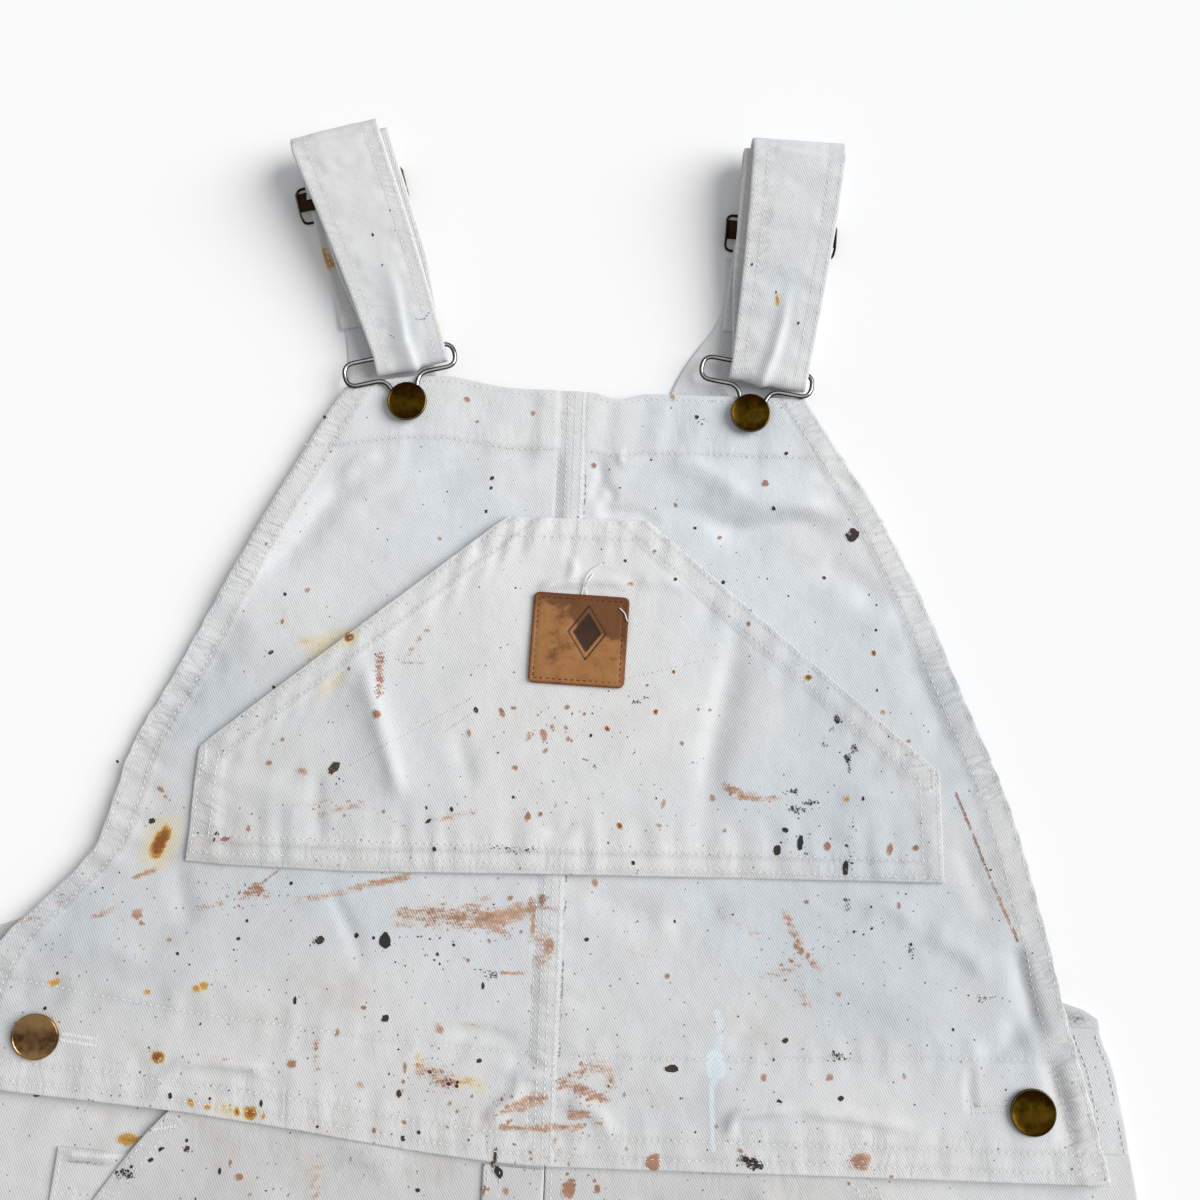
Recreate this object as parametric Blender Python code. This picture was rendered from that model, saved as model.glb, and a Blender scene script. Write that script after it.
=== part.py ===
"""White cotton bib overalls laid flat on their back, front upwards, with the straps folded over at the shoulders.

Metres, +Z up. The garment is drawn from the middle of its front waist seam, +Y from the leg hems to the straps
and +X to the viewer's right, and then moved so that the origin is under the middle of its bounding box. Left and
right are the viewer's.

The cloth lies in layers: the back on the surface it rests on, then the button plackets, the pocket facings, the
small pocket, the front legs, the bib, and the pocket and patch sewn on the bib. A turned hem is a second ply under
the edge of its own piece.
"""

import math
from collections import namedtuple

import bmesh
import bpy
import numpy as np
from mathutils import Vector

# ---- Driving dimensions -------------------------------------------------------------------------------------
CLOTH = 0.0012  # one ply of heavy cotton drill
HEM_PLY = 0.0008  # the pressed second ply of a turned hem
GAP = 0.0003  # between pieces at a seam
LAID_GAP = 0.0004  # between a piece and what is sewn on it
FLAT_PLY = CLOTH + GAP  # from one flat layer to the next

BIB_HEIGHT = 0.357  # waist seam to the top of the bib
RISE = 0.300  # waist seam to the crotch
INSEAM = 0.740  # crotch to the leg hems
CROTCH_Y = -RISE
HEM_Y = -RISE - INSEAM

SIDE_HEM = 0.014  # turned hem down each side of the bib
TOP_HEM = 0.031  # turned hem along the top of the bib
LEG_HEM = 0.022
POCKET_HEM = 0.012
HEM_STEP = 0.0015  # width of the slope where a turned hem ends
SEAM_LAP = 0.012  # cloth of the legs that runs up under the bib at the waist

PLACKET_FLOOR = FLAT_PLY
FACING_FLOOR = 2 * FLAT_PLY
SMALL_POCKET_FLOOR = 3 * FLAT_PLY
WAIST_BIB_FLOOR = 5 * FLAT_PLY
HIGH_BIB_FLOOR = 0.0052  # underside of the bib higher up, over the straps' lower ends
EDGE_ROUND = 0.014  # width over which a leg's front curves down to its back at a seam
EDGE_INSET = 0.0008  # how far the front stays inside the back's outline

STRAP_WIDTH = 0.0445
STRAP_PLY = 0.0022  # two plies sewn together
WIRE_RADIUS = 0.0014
HOOK_HEIGHT = 0.0086  # middle of the wire above the surface
HOOK_BAR = 0.0252  # button to the hook's straight bar
HOOK_HALF_WIDTH = 0.0271
HOOK_SLOT = 0.0116  # between the two long wires
WRAP_RADIUS = WIRE_RADIUS + 2 * GAP + STRAP_PLY / 2  # strap above and below the hook's bar
WRAP_REACH = 0.0082  # and how far its loose turn hangs past the bar
FOLD_TOP = 0.0246  # middle of the strap at the top of its outer fold
RETURN_DROP = 0.0055  # the returning layer below the front one
TAIL_HEIGHT = 0.0067
SLIDE_SIZE = (0.0555, 0.0200)
SLIDE_SHEET = 0.0012
BUTTON_RADIUS = 0.0096
SIDE_BUTTON_RADIUS = 0.0103

# ---- Looks --------------------------------------------------------------------------------------------------
WHITE_DRILL = ((0.78, 0.79, 0.80), 0.90, 0.0)
OLD_BRASS = ((0.30, 0.19, 0.06), 0.35, 0.9)
NICKEL = ((0.55, 0.53, 0.50), 0.28, 1.0)
DARK_BRASS = ((0.07, 0.04, 0.025), 0.45, 0.8)
BROWN_LEATHER = ((0.36, 0.17, 0.06), 0.65, 0.0)

# ---- Outlines -----------------------------------------------------------------------------------------------
Sides = namedtuple("Sides", "y left right")
# The whole garment from the hems to the waist.
SILHOUETTE = (
    Sides(-1.040, -0.297, 0.299),
    Sides(-0.850, -0.301, 0.296),
    Sides(-0.650, -0.303, 0.300),
    Sides(-0.450, -0.299, 0.303),
    Sides(-0.300, -0.297, 0.297),
    Sides(-0.180, -0.290, 0.285),
    Sides(-0.080, -0.284, 0.273),
    Sides(0.000, -0.279, 0.2638),
    Sides(0.060, -0.275, 0.2520),
    Sides(0.110, -0.272, 0.245),
)
# The legs' inner edges, from the hems to the crotch.
INSEAMS = (
    Sides(-1.040, -0.071, 0.073),
    Sides(-0.850, -0.055, 0.053),
    Sides(-0.650, -0.036, 0.039),
    Sides(-0.450, -0.017, 0.022),
    Sides(-0.340, -0.005, 0.006),
    Sides(-0.300, -0.0008, 0.0008),
)
# The bib and its waist, whose left side hangs a little wider than its right.
BIB_SIDES = (
    Sides(0.000, -0.2630, 0.2505),
    Sides(0.050, -0.2585, 0.2380),
    Sides(0.078, -0.2490, 0.2310),
    Sides(0.103, -0.2320, 0.2258),
    Sides(0.130, -0.2130, 0.2190),
    Sides(0.155, -0.2055, 0.2120),
    Sides(0.178, -0.2000, 0.2038),
    Sides(0.213, -0.1830, 0.1885),
    Sides(0.262, -0.1600, 0.1682),
    Sides(0.307, -0.1385, 0.1445),
    Sides(0.340, -0.1215, 0.1230),
    Sides(0.357, -0.1120, 0.1120),
)
# How far the bib's top edge strays above or below its height, pulled up by the left strap.
Edge = namedtuple("Edge", "x rise")
BIB_TOP_EDGE = (
    Edge(-0.112, -0.0024),
    Edge(-0.095, 0.0020),
    Edge(-0.078, 0.0048),
    Edge(-0.061, 0.0052),
    Edge(-0.045, 0.0026),
    Edge(-0.031, 0.0005),
    Edge(-0.010, 0.0000),
    Edge(0.009, -0.0006),
    Edge(0.022, -0.0032),
    Edge(0.036, -0.0002),
    Edge(0.112, 0.0000),
)
# The back above the waist: side corners that stand out past the bib, then in under it to the strap arms.
BACK_BIB_SIDES = (
    Sides(0.000, -0.2790, 0.2638),
    Sides(0.013, -0.2785, 0.2620),
    Sides(0.032, -0.2768, 0.2590),
    Sides(0.050, -0.2755, 0.2552),
    Sides(0.062, -0.2750, 0.2505),
    Sides(0.0715, -0.2745, 0.2488),
    Sides(0.0765, -0.2735, 0.2330),
    Sides(0.092, -0.2600, 0.2050),
    Sides(0.112, -0.2080, 0.1850),
    Sides(0.160, -0.1750, 0.1620),
    Sides(0.220, -0.1450, 0.1380),
    Sides(0.290, -0.1220, 0.1200),
    Sides(0.357, -0.1115, 0.1125),
    Sides(0.396, -0.1172, 0.1145),
    Sides(0.430, -0.1290, 0.1170),
)
# The neckline of the back, from its lowest point up the inside of the arms.
NECKLINE = (
    Sides(0.250, -0.0005, 0.0005),
    Sides(0.262, -0.0330, 0.0200),
    Sides(0.300, -0.0560, 0.0360),
    Sides(0.357, -0.0665, 0.0462),
    Sides(0.372, -0.0700, 0.0529),
    Sides(0.383, -0.0730, 0.0600),
    Sides(0.393, -0.0760, 0.0672),
    Sides(0.405, -0.0795, 0.0714),
    Sides(0.430, -0.0890, 0.0724),
)

# The largest folds of each panel: a soft ridge from one end to the other, with its width across.
Fold = namedtuple("Fold", "x0 y0 x1 y1 width height")
BIB_FOLDS = (
    Fold(-0.170, 0.225, -0.118, 0.318, 0.012, 0.0016),
    Fold(-0.128, 0.285, -0.052, 0.308, 0.011, 0.0013),
    Fold(0.050, 0.318, 0.135, 0.296, 0.010, 0.0018),
    Fold(0.112, 0.262, 0.165, 0.246, 0.010, 0.0012),
    Fold(-0.185, 0.062, -0.118, 0.052, 0.012, 0.0014),
    Fold(-0.235, 0.110, -0.200, 0.160, 0.010, 0.0014),
    Fold(0.060, 0.026, 0.140, 0.034, 0.011, 0.0017),
    Fold(0.100, 0.090, 0.195, 0.066, 0.013, 0.0015),
    Fold(0.196, 0.130, 0.216, 0.070, 0.010, 0.0012),
)
POCKET_FOLDS = (
    Fold(-0.102, 0.232, -0.068, 0.146, 0.010, 0.0021),
    Fold(-0.140, 0.175, -0.120, 0.142, 0.011, 0.0012),
    Fold(0.100, 0.240, 0.074, 0.150, 0.014, 0.0013),
    Fold(0.150, 0.172, 0.128, 0.144, 0.011, 0.0010),
)
LEG_FOLDS = (
    Fold(-0.060, -0.235, -0.215, -0.170, 0.022, 0.0040),
    Fold(-0.040, -0.300, -0.200, -0.345, 0.020, 0.0036),
    Fold(-0.060, -0.350, -0.235, -0.480, 0.026, 0.0048),
    Fold(-0.175, -0.420, -0.150, -0.680, 0.026, 0.0055),
    Fold(-0.080, -0.640, -0.245, -0.705, 0.022, 0.0044),
    Fold(-0.090, -0.790, -0.230, -0.750, 0.020, 0.0034),
    Fold(-0.205, -0.760, -0.175, -0.990, 0.024, 0.0044),
    Fold(0.050, -0.225, 0.220, -0.190, 0.022, 0.0038),
    Fold(0.040, -0.295, 0.210, -0.330, 0.020, 0.0040),
    Fold(0.060, -0.360, 0.225, -0.520, 0.026, 0.0046),
    Fold(0.145, -0.450, 0.190, -0.700, 0.026, 0.0052),
    Fold(0.085, -0.690, 0.250, -0.650, 0.022, 0.0042),
    Fold(0.100, -0.760, 0.240, -0.800, 0.020, 0.0034),
    Fold(0.215, -0.800, 0.185, -0.990, 0.024, 0.0046),
)
Level = namedtuple("Level", "y height")
# The underside of the front legs, highest at the waist where the facings and plackets lie below it.
LEG_LEVELS = (
    Level(-1.040, 0.0024),
    Level(-0.900, 0.0030),
    Level(-0.350, 0.0040),
    Level(-0.170, 4 * FLAT_PLY),
    Level(0.020, 4 * FLAT_PLY),
)

# Slanted hand pockets: where the mouth leaves the waist seam, where it meets the side seam, and its inward bow.
Slant = namedtuple("Slant", "top_x side_y bow")
SLANTS = {-1: Slant(-0.168, -0.118, 0.0), 1: Slant(0.142, -0.128, 0.006)}
FACING_LAP = 0.040  # how far a facing runs in under the front leg
PLACKET_WIDTH = 0.045
PLACKET_TOP = 0.066
SMALL_POCKET = {"left": -0.2165, "right": -0.1560, "top": -0.0172, "bottom": -0.075}
FLY = {"width": 0.0270, "top": -0.0015, "bottom": -0.185}

# The bib pocket, with its two corners cut away to make slanted hand openings.
POCKET_X = 0.004
PocketRow = namedtuple("PocketRow", "y half")
POCKET_ROWS = (PocketRow(0.1285, 0.1740), PocketRow(0.1790, 0.1720), PocketRow(0.2930, 0.0335))
PATCH_CENTRE = (0.0065, 0.2345)
PATCH_SIZE = (0.0450, 0.0430)
PATCH_LEATHER = 0.0016

CENTRE_SEAM_X = 0.0003  # middle of the felled seam
CENTRE_SEAM_WIDTH = 0.0154
CENTRE_SEAM_PLY = 0.0009

Strap = namedtuple(
    "Strap", "button hook_lean bar_shift fold fold_lean bow fold_width bar_width slide slide_lean return_shift"
)
# Leans are in degrees, to the viewer's left. The fold is the middle of the strap's turn at the shoulder, and the
# bow is how far the strap bends to the viewer's right between the fold and the hook. The bar shift is along the
# hook's bar to the right, and the return shift is how much nearer the middle the returning layer lies.
STRAPS = {
    -1: Strap(
        button=(-0.0806, 0.3474), hook_lean=14.5, bar_shift=0.0058, fold=(-0.1203, 0.4722), fold_lean=17,
        bow=0.0009, fold_width=0.0438, bar_width=0.0350, slide=(-0.1157, 0.4568), slide_lean=16,
        return_shift=0.0038,
    ),
    1: Strap(
        button=(0.0850, 0.3474), hook_lean=-9, bar_shift=0.0055, fold=(0.1053, 0.4740), fold_lean=-2,
        bow=0.0008, fold_width=0.0456, bar_width=0.0378, slide=(0.0995, 0.4425), slide_lean=-3,
        return_shift=0.0042,
    ),
}
Rear = namedtuple("Rear", "x y lean")
# The straps' rear parts, from under the bib to where they leave the surface.
REAR_STRAPS = {
    -1: (
        Rear(-0.0945, 0.390, 12), Rear(-0.0990, 0.408, 15), Rear(-0.1075, 0.433, 17), Rear(-0.1150, 0.455, 17)
    ),
    1: (
        Rear(0.0935, 0.390, -4), Rear(0.0955, 0.408, -4), Rear(0.0985, 0.435, -4), Rear(0.1020, 0.456, -3)
    ),
}
SIDE_BUTTONS = {-1: (-0.2289, 0.0480), 1: (0.2154, 0.0306)}


# ---- Curves and heights -------------------------------------------------------------------------------------
def smooth(t):
    """0 to 1 with flat ends."""
    t = np.clip(t, 0.0, 1.0)
    return t * t * (3 - 2 * t)


def along(rows, name, y):
    """A table's named column, on a smooth curve through its rows that never overshoots them."""
    ys = np.array([row[0] for row in rows])
    values = np.array([getattr(row, name) for row in rows])
    y = np.clip(np.asarray(y, float), ys[0], ys[-1])
    step = np.diff(ys)
    slope = np.diff(values) / step
    tangent = np.concatenate([[slope[0]], (slope[1:] + slope[:-1]) / 2, [slope[-1]]])
    turning = np.concatenate([[False], slope[1:] * slope[:-1] <= 0, [False]])
    tangent[turning] = 0.0
    before = np.abs(np.concatenate([[slope[0]], slope]))
    after = np.abs(np.concatenate([slope, [slope[-1]]]))
    limit = 3 * np.minimum(before, after)
    tangent = np.clip(tangent, -limit, limit)
    i = np.clip(np.searchsorted(ys, y) - 1, 0, len(step) - 1)
    t = (y - ys[i]) / step[i]
    start = values[i] * (1 + 2 * t) * (1 - t) ** 2 + tangent[i] * step[i] * t * (1 - t) ** 2
    end = values[i + 1] * t * t * (3 - 2 * t) + tangent[i + 1] * step[i] * t * t * (t - 1)
    return start + end


def side_name(side):
    return "left" if side < 0 else "right"


def waist_seam(x):
    """The seam between the bib and the legs, which climbs towards the left side."""
    climb, reach, power = 0.024, 0.244, 1.3
    return climb * (np.clip(-np.asarray(x, float), 0, None) / reach) ** power


def follow_waist(x, y):
    """The y of a point near the waist once its row follows the seam."""
    return y + smooth((y + 0.060) / 0.060) * (1 - smooth((y - 0.010) / 0.140)) * waist_seam(x)


def follow_top(x, y):
    """The y of a point near the top of the bib once its row follows the top edge."""
    return y + smooth((y - 0.270) / (BIB_HEIGHT - 0.270)) * along(BIB_TOP_EDGE, "rise", x)


def folds(table, x, y):
    """Height of all the table's folds at x, y, each tapered to nothing at its ends."""
    total = np.zeros(np.broadcast(x, y).shape)
    for fold in table:
        run_x, run_y = fold.x1 - fold.x0, fold.y1 - fold.y0
        length = math.hypot(run_x, run_y)
        t = ((x - fold.x0) * run_x + (y - fold.y0) * run_y) / length**2
        across = ((x - fold.x0) * run_y - (y - fold.y0) * run_x) / length
        taper = smooth(3 * t) * smooth(3 * (1 - t))
        total = total + fold.height * taper * np.exp(-((across / fold.width) ** 2))
    return total


def leg_floor(side, x, y):
    """Underside of a front leg, which curves down to the back along the side seam and the inseam."""
    level = along(LEG_LEVELS, "height", y) + folds(LEG_FOLDS, x, y)
    name = side_name(side)
    outer = np.abs(along(SILHOUETTE, name, y) - x) - EDGE_INSET
    inner = np.abs(x - along(INSEAMS, name, y)) - EDGE_INSET
    sewn_outer = smooth((SLANTS[side].side_y - 0.014 - y) / 0.035)
    sewn_inner = smooth((CROTCH_Y - y) / 0.035)
    rise_outer = np.sin(np.clip(outer / EDGE_ROUND, 0, 1) * math.pi / 2)
    rise_inner = np.sin(np.clip(inner / EDGE_ROUND, 0, 1) * math.pi / 2)
    share = (1 - sewn_outer * (1 - rise_outer)) * (1 - sewn_inner * (1 - rise_inner))
    return FLAT_PLY + (level - FLAT_PLY) * share


def bib_floor(x, y):
    """Underside of the bib where it is one ply: over the legs at the waist, lower towards its top."""
    drop = (WAIST_BIB_FLOOR - HIGH_BIB_FLOOR) * smooth((y - 0.035) / 0.085)
    return WAIST_BIB_FLOOR + HEM_PLY * (1 - smooth((y - 0.035) / 0.085)) - drop + folds(BIB_FOLDS, x, y)


def bib_top(x, y):
    return bib_floor(x, y) + CLOTH


def over_centre_seam(x):
    """How much the pocket is raised where it crosses the felled seam."""
    off = np.abs(x - CENTRE_SEAM_X) - CENTRE_SEAM_WIDTH / 2
    return (CENTRE_SEAM_PLY + LAID_GAP) * (1 - smooth((off - 0.030) / 0.045))


def pocket_top(x, y):
    return bib_top(x, y) + LAID_GAP + HEM_PLY + CLOTH + over_centre_seam(x) + folds(POCKET_FOLDS, x, y)


# ---- Solids -------------------------------------------------------------------------------------------------
def add_object(name, mesh, look, angle=40):
    colour, roughness, metallic = look
    material = bpy.data.materials.new(name)
    material.use_nodes = True
    shader = material.node_tree.nodes["Principled BSDF"]
    shader.inputs["Base Color"].default_value = (*colour, 1.0)
    shader.inputs["Roughness"].default_value = roughness
    shader.inputs["Metallic"].default_value = metallic
    mesh.materials.append(material)
    mesh.shade_smooth()
    mesh.set_sharp_from_angle(angle=math.radians(angle))
    node = bpy.data.objects.new(name, mesh)
    bpy.context.scene.collection.objects.link(node)
    return node


def solid(name, points, faces, look):
    """An object from points and faces, with its faces turned outwards."""
    mesh = bpy.data.meshes.new(name)
    mesh.from_pydata([tuple(p) for p in points], [], faces)
    shape = bmesh.new()
    shape.from_mesh(mesh)
    bmesh.ops.recalc_face_normals(shape, faces=shape.faces[:])
    shape.to_mesh(mesh)
    shape.free()
    return add_object(name, mesh, look)


def cloth_between(name, under, over, look=WHITE_DRILL):
    """A closed piece of cloth between two grids of points, rows by columns by xyz, that face each other."""
    rows, columns = under.shape[:2]
    half = rows * columns
    points = np.concatenate([under.reshape(-1, 3), over.reshape(-1, 3)])
    faces = []
    for r in range(rows - 1):
        for c in range(columns - 1):
            a = r * columns + c
            b, d, e = a + 1, a + columns, a + columns + 1
            faces.append((a, d, e, b))
            faces.append((half + a, half + b, half + e, half + d))
    rim = list(range(columns))
    rim += [r * columns + columns - 1 for r in range(1, rows)]
    rim += [(rows - 1) * columns + c for c in range(columns - 2, -1, -1)]
    rim += [r * columns for r in range(rows - 2, 0, -1)]
    for p, q in zip(rim, rim[1:] + rim[:1]):
        faces.append((p, q, half + q, half + p))
    return solid(name, points, faces, look)


def grid(x, y, z):
    return np.stack([x, y, np.broadcast_to(z, x.shape)], axis=-1)


def panel_grid(heights, near, far, shares):
    """x and y of a panel whose rows run from its near edge to its far edge, each a function of y."""
    heights = np.asarray(heights, float)
    shares = np.asarray(shares, float)
    start = np.array([float(near(y)) for y in heights])[:, None]
    end = np.array([float(far(y)) for y in heights])[:, None]
    x = start + (end - start) * shares[None, :]
    y = np.repeat(heights[:, None], len(shares), axis=1)
    return x, y


def flat_panel(name, heights, near, far, floor, columns=2):
    """One ply lying flat, its rows following the waist seam."""
    x, y = panel_grid(heights, near, far, np.linspace(0, 1, columns))
    y = follow_waist(x, y)
    return cloth_between(name, grid(x, y, floor), grid(x, y, floor + CLOTH))


def steps(*runs):
    """Joined runs of evenly spaced values, each a (start, end, count), without repeating the joints."""
    values = []
    for start, end, count in runs:
        run = list(np.linspace(start, end, count))
        values += run[1:] if values and abs(run[0] - values[-1]) < GAP else run
    return values


# ---- Back ---------------------------------------------------------------------------------------------------
def back_leg(side):
    name = side_name(side)
    rise_rows = steps((CROTCH_Y, -GAP, 10))
    rows = steps((HEM_Y, CROTCH_Y - 0.020, 15)) + [CROTCH_Y - 0.008] + rise_rows
    inner = lambda y: along(INSEAMS, name, y) if y < CROTCH_Y else side * GAP / 2
    outer = lambda y: along(SILHOUETTE, name, y)
    x, y = panel_grid(rows, outer, inner, np.linspace(0, 1, 2))
    return cloth_between(f"back_leg_{name}", grid(x, y, 0.0), grid(x, y, CLOTH))


def back_bib(side):
    name = side_name(side)
    rows = steps((GAP, 0.040, 3), (0.040, 0.120, 9), (0.120, 0.250, 6), (0.250, 0.300, 8), (0.300, 0.430, 14))
    inner = lambda y: along(NECKLINE, name, y) if y > NECKLINE[0].y else side * GAP / 2
    outer = lambda y: along(BACK_BIB_SIDES, name, y)
    x, y = panel_grid(rows, outer, inner, np.linspace(0, 1, 2))
    return cloth_between(f"back_bib_{name}", grid(x, y, 0.0), grid(x, y, CLOTH))


def side_placket(side):
    """The double edge of the back at the side opening, which carries the side button."""
    name = side_name(side)
    rows = steps((SLANTS[side].side_y - 0.008, PLACKET_TOP, 12))
    outer = lambda y: along(BACK_BIB_SIDES if y > 0 else SILHOUETTE, name, y) - side * EDGE_INSET
    inner = lambda y: outer(y) - side * PLACKET_WIDTH
    x, y = panel_grid(rows, outer, inner, np.linspace(0, 1, 2))
    return cloth_between(f"side_placket_{name}", grid(x, y, PLACKET_FLOOR), grid(x, y, PLACKET_FLOOR + CLOTH))


# ---- Front legs ---------------------------------------------------------------------------------------------
def outer_edge(side, y):
    return along(SILHOUETTE, side_name(side), y) - side * EDGE_INSET


def slant_x(side, y):
    """The hand pocket's mouth, from the waist seam out to the side seam."""
    slant = SLANTS[side]
    share = np.clip(np.asarray(y, float) / slant.side_y, -0.15, 1.0)
    bow = slant.bow * np.sin(math.pi * np.clip(share, 0, 1))
    end = outer_edge(side, slant.side_y)
    return slant.top_x + (end - slant.top_x) * share - side * bow


def hip_facing(side):
    """Cloth behind a hand pocket's mouth, out to the side seam."""
    rows = steps((SLANTS[side].side_y - 0.010, SEAM_LAP, 10))
    near = lambda y: outer_edge(side, y)
    far = lambda y: slant_x(side, y) - side * FACING_LAP
    return flat_panel(f"hip_facing_{side_name(side)}", rows, near, far, FACING_FLOOR)


def small_pocket():
    """A patch pocket on the left facing, partly behind the mouth of the hand pocket."""
    box = SMALL_POCKET
    rows = steps((box["bottom"], box["top"], 5))
    taper = 0.12
    left = lambda y: box["left"] - taper * (box["top"] - y)
    right = lambda y: min(box["right"] - taper * (box["top"] - y), float(slant_x(-1, y)) + FACING_LAP - 0.002)
    return flat_panel("small_pocket", rows, left, right, SMALL_POCKET_FLOOR)


def front_leg(side):
    """A front leg: under the bib at the waist, cut away at the hand pocket, with a turned hem at the foot."""
    slant = SLANTS[side]
    name = side_name(side)
    rows = steps((HEM_Y, HEM_Y + LEG_HEM, 2)) + [HEM_Y + LEG_HEM + HEM_STEP]
    rows += steps((HEM_Y + 0.050, CROTCH_Y, 21), (CROTCH_Y, slant.side_y, 7), (slant.side_y, SEAM_LAP, 8))
    mouth = lambda y: slant_x(side, y) if y > slant.side_y else outer_edge(side, y)
    inseam = lambda y: along(INSEAMS, name, y) + side * EDGE_INSET
    inner = lambda y: inseam(y) if y < CROTCH_Y else side * GAP / 2
    curved = [0.0, 0.022, 0.062]
    shares = curved + list(np.linspace(0.140, 0.860, 7)) + [1 - s for s in reversed(curved)]
    x, y = panel_grid(rows, mouth, inner, shares)
    under = leg_floor(side, x, y)
    hem = (np.array(rows) < HEM_Y + LEG_HEM + HEM_STEP / 2)[:, None]
    over = under + CLOTH
    under = under - HEM_PLY * hem * smooth((under - FLAT_PLY) / HEM_PLY)
    y = follow_waist(x, y)
    return cloth_between(f"front_leg_{name}", grid(x, y, under), grid(x, y, over))


def fly_placket():
    rows = steps((FLY["bottom"], FLY["top"], 7))
    left = lambda y: -GAP - FLY["width"] * smooth((y - FLY["bottom"] + 0.006) / 0.035)
    right = lambda y: -GAP
    x, y = panel_grid(rows, left, right, np.linspace(0, 1, 3))
    under = leg_floor(-1, x, y) + CLOTH + LAID_GAP
    y = follow_waist(x, y)
    return cloth_between("fly_placket", grid(x, y, under), grid(x, y, under + CLOTH))


# ---- Bib ----------------------------------------------------------------------------------------------------
def bib_half(side):
    """Half the bib, from the centre seam to its side hem, its top and side hems turned under."""
    name = side_name(side)
    rows = steps((0.0, 0.312, 18)) + [BIB_HEIGHT - TOP_HEM - HEM_STEP]
    rows += steps((BIB_HEIGHT - TOP_HEM, BIB_HEIGHT, 3))
    rows = np.array(rows)
    x = []
    for height in rows:
        edge = float(along(BIB_SIDES, name, height))
        inner = side * GAP / 2
        hem_end = edge - side * (SIDE_HEM + HEM_STEP)
        body = [hem_end + (inner - hem_end) * t for t in np.linspace(0, 1, 11)]
        x.append([edge, edge - side * SIDE_HEM] + body)
    x = np.array(x)
    y = np.repeat(rows[:, None], x.shape[1], axis=1)
    hem = np.zeros_like(x)
    hem[:, :2] = 1
    hem[rows > BIB_HEIGHT - TOP_HEM - HEM_STEP / 2, :] = 1
    under = bib_floor(x, y)
    y = follow_top(x, follow_waist(x, y))
    return cloth_between(f"bib_{name}", grid(x, y, under - HEM_PLY * hem), grid(x, y, under + CLOTH))


def centre_seam():
    """The felled seam down the middle of the bib, from the top hem to the waist."""
    rows = steps((2 * GAP, BIB_HEIGHT - GAP, 22))
    left = lambda y: CENTRE_SEAM_X - CENTRE_SEAM_WIDTH / 2
    right = lambda y: CENTRE_SEAM_X + CENTRE_SEAM_WIDTH / 2
    x, y = panel_grid(rows, left, right, np.linspace(0, 1, 3))
    under = bib_top(x, y) + LAID_GAP
    y = follow_top(x, y)
    return cloth_between("centre_seam", grid(x, y, under), grid(x, y, under + CENTRE_SEAM_PLY))


def bib_pocket():
    """The pocket, its edges turned under all round."""
    bottom, shoulder, top = (row.y for row in POCKET_ROWS)
    rows = [bottom, bottom + POCKET_HEM] + steps((bottom + POCKET_HEM + HEM_STEP, shoulder, 4))
    rows += steps((shoulder, top - POCKET_HEM - HEM_STEP, 9))[1:] + [top - POCKET_HEM, top]
    half = lambda y: np.interp(y, [row.y for row in POCKET_ROWS], [row.half for row in POCKET_ROWS])
    x = []
    for height in rows:
        edge = float(half(height))
        hem = POCKET_HEM if height <= shoulder else POCKET_HEM * 1.25
        hem = min(hem, edge / 3)
        inside = edge - hem - HEM_STEP
        middle = list(np.linspace(-inside, inside, 17))
        x.append([-edge, -edge + hem] + middle + [edge - hem, edge])
    x = POCKET_X + np.array(x)
    y = np.repeat(np.array(rows)[:, None], x.shape[1], axis=1)
    hem = np.zeros_like(x)
    hem[:2, :] = hem[-2:, :] = 1
    hem[:, :2] = hem[:, -2:] = 1
    over = pocket_top(x, y)
    return cloth_between("bib_pocket", grid(x, y, over - CLOTH - HEM_PLY * hem), grid(x, y, over))


def leather_patch():
    xs = PATCH_CENTRE[0] + PATCH_SIZE[0] * np.linspace(-0.5, 0.5, 4)
    ys = PATCH_CENTRE[1] + PATCH_SIZE[1] * np.linspace(-0.5, 0.5, 4)
    x, y = np.meshgrid(xs, ys)
    under = pocket_top(x, y) + LAID_GAP
    return cloth_between("leather_patch", grid(x, y, under), grid(x, y, under + PATCH_LEATHER), BROWN_LEATHER)


# ---- Straps and metalwork -----------------------------------------------------------------------------------
def across(lean):
    """Unit vector across a strap that leans this many degrees to the left, towards the viewer's right."""
    return Vector((math.cos(math.radians(lean)), math.sin(math.radians(lean)), 0.0))


def upward(lean):
    """Unit vector along it, away from the hems."""
    return Vector((-math.sin(math.radians(lean)), math.cos(math.radians(lean)), 0.0))


def flat_point(x, y, z=0.0):
    return Vector((x, y, z))


Station = namedtuple("Station", "middle lean width pucker")


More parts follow.
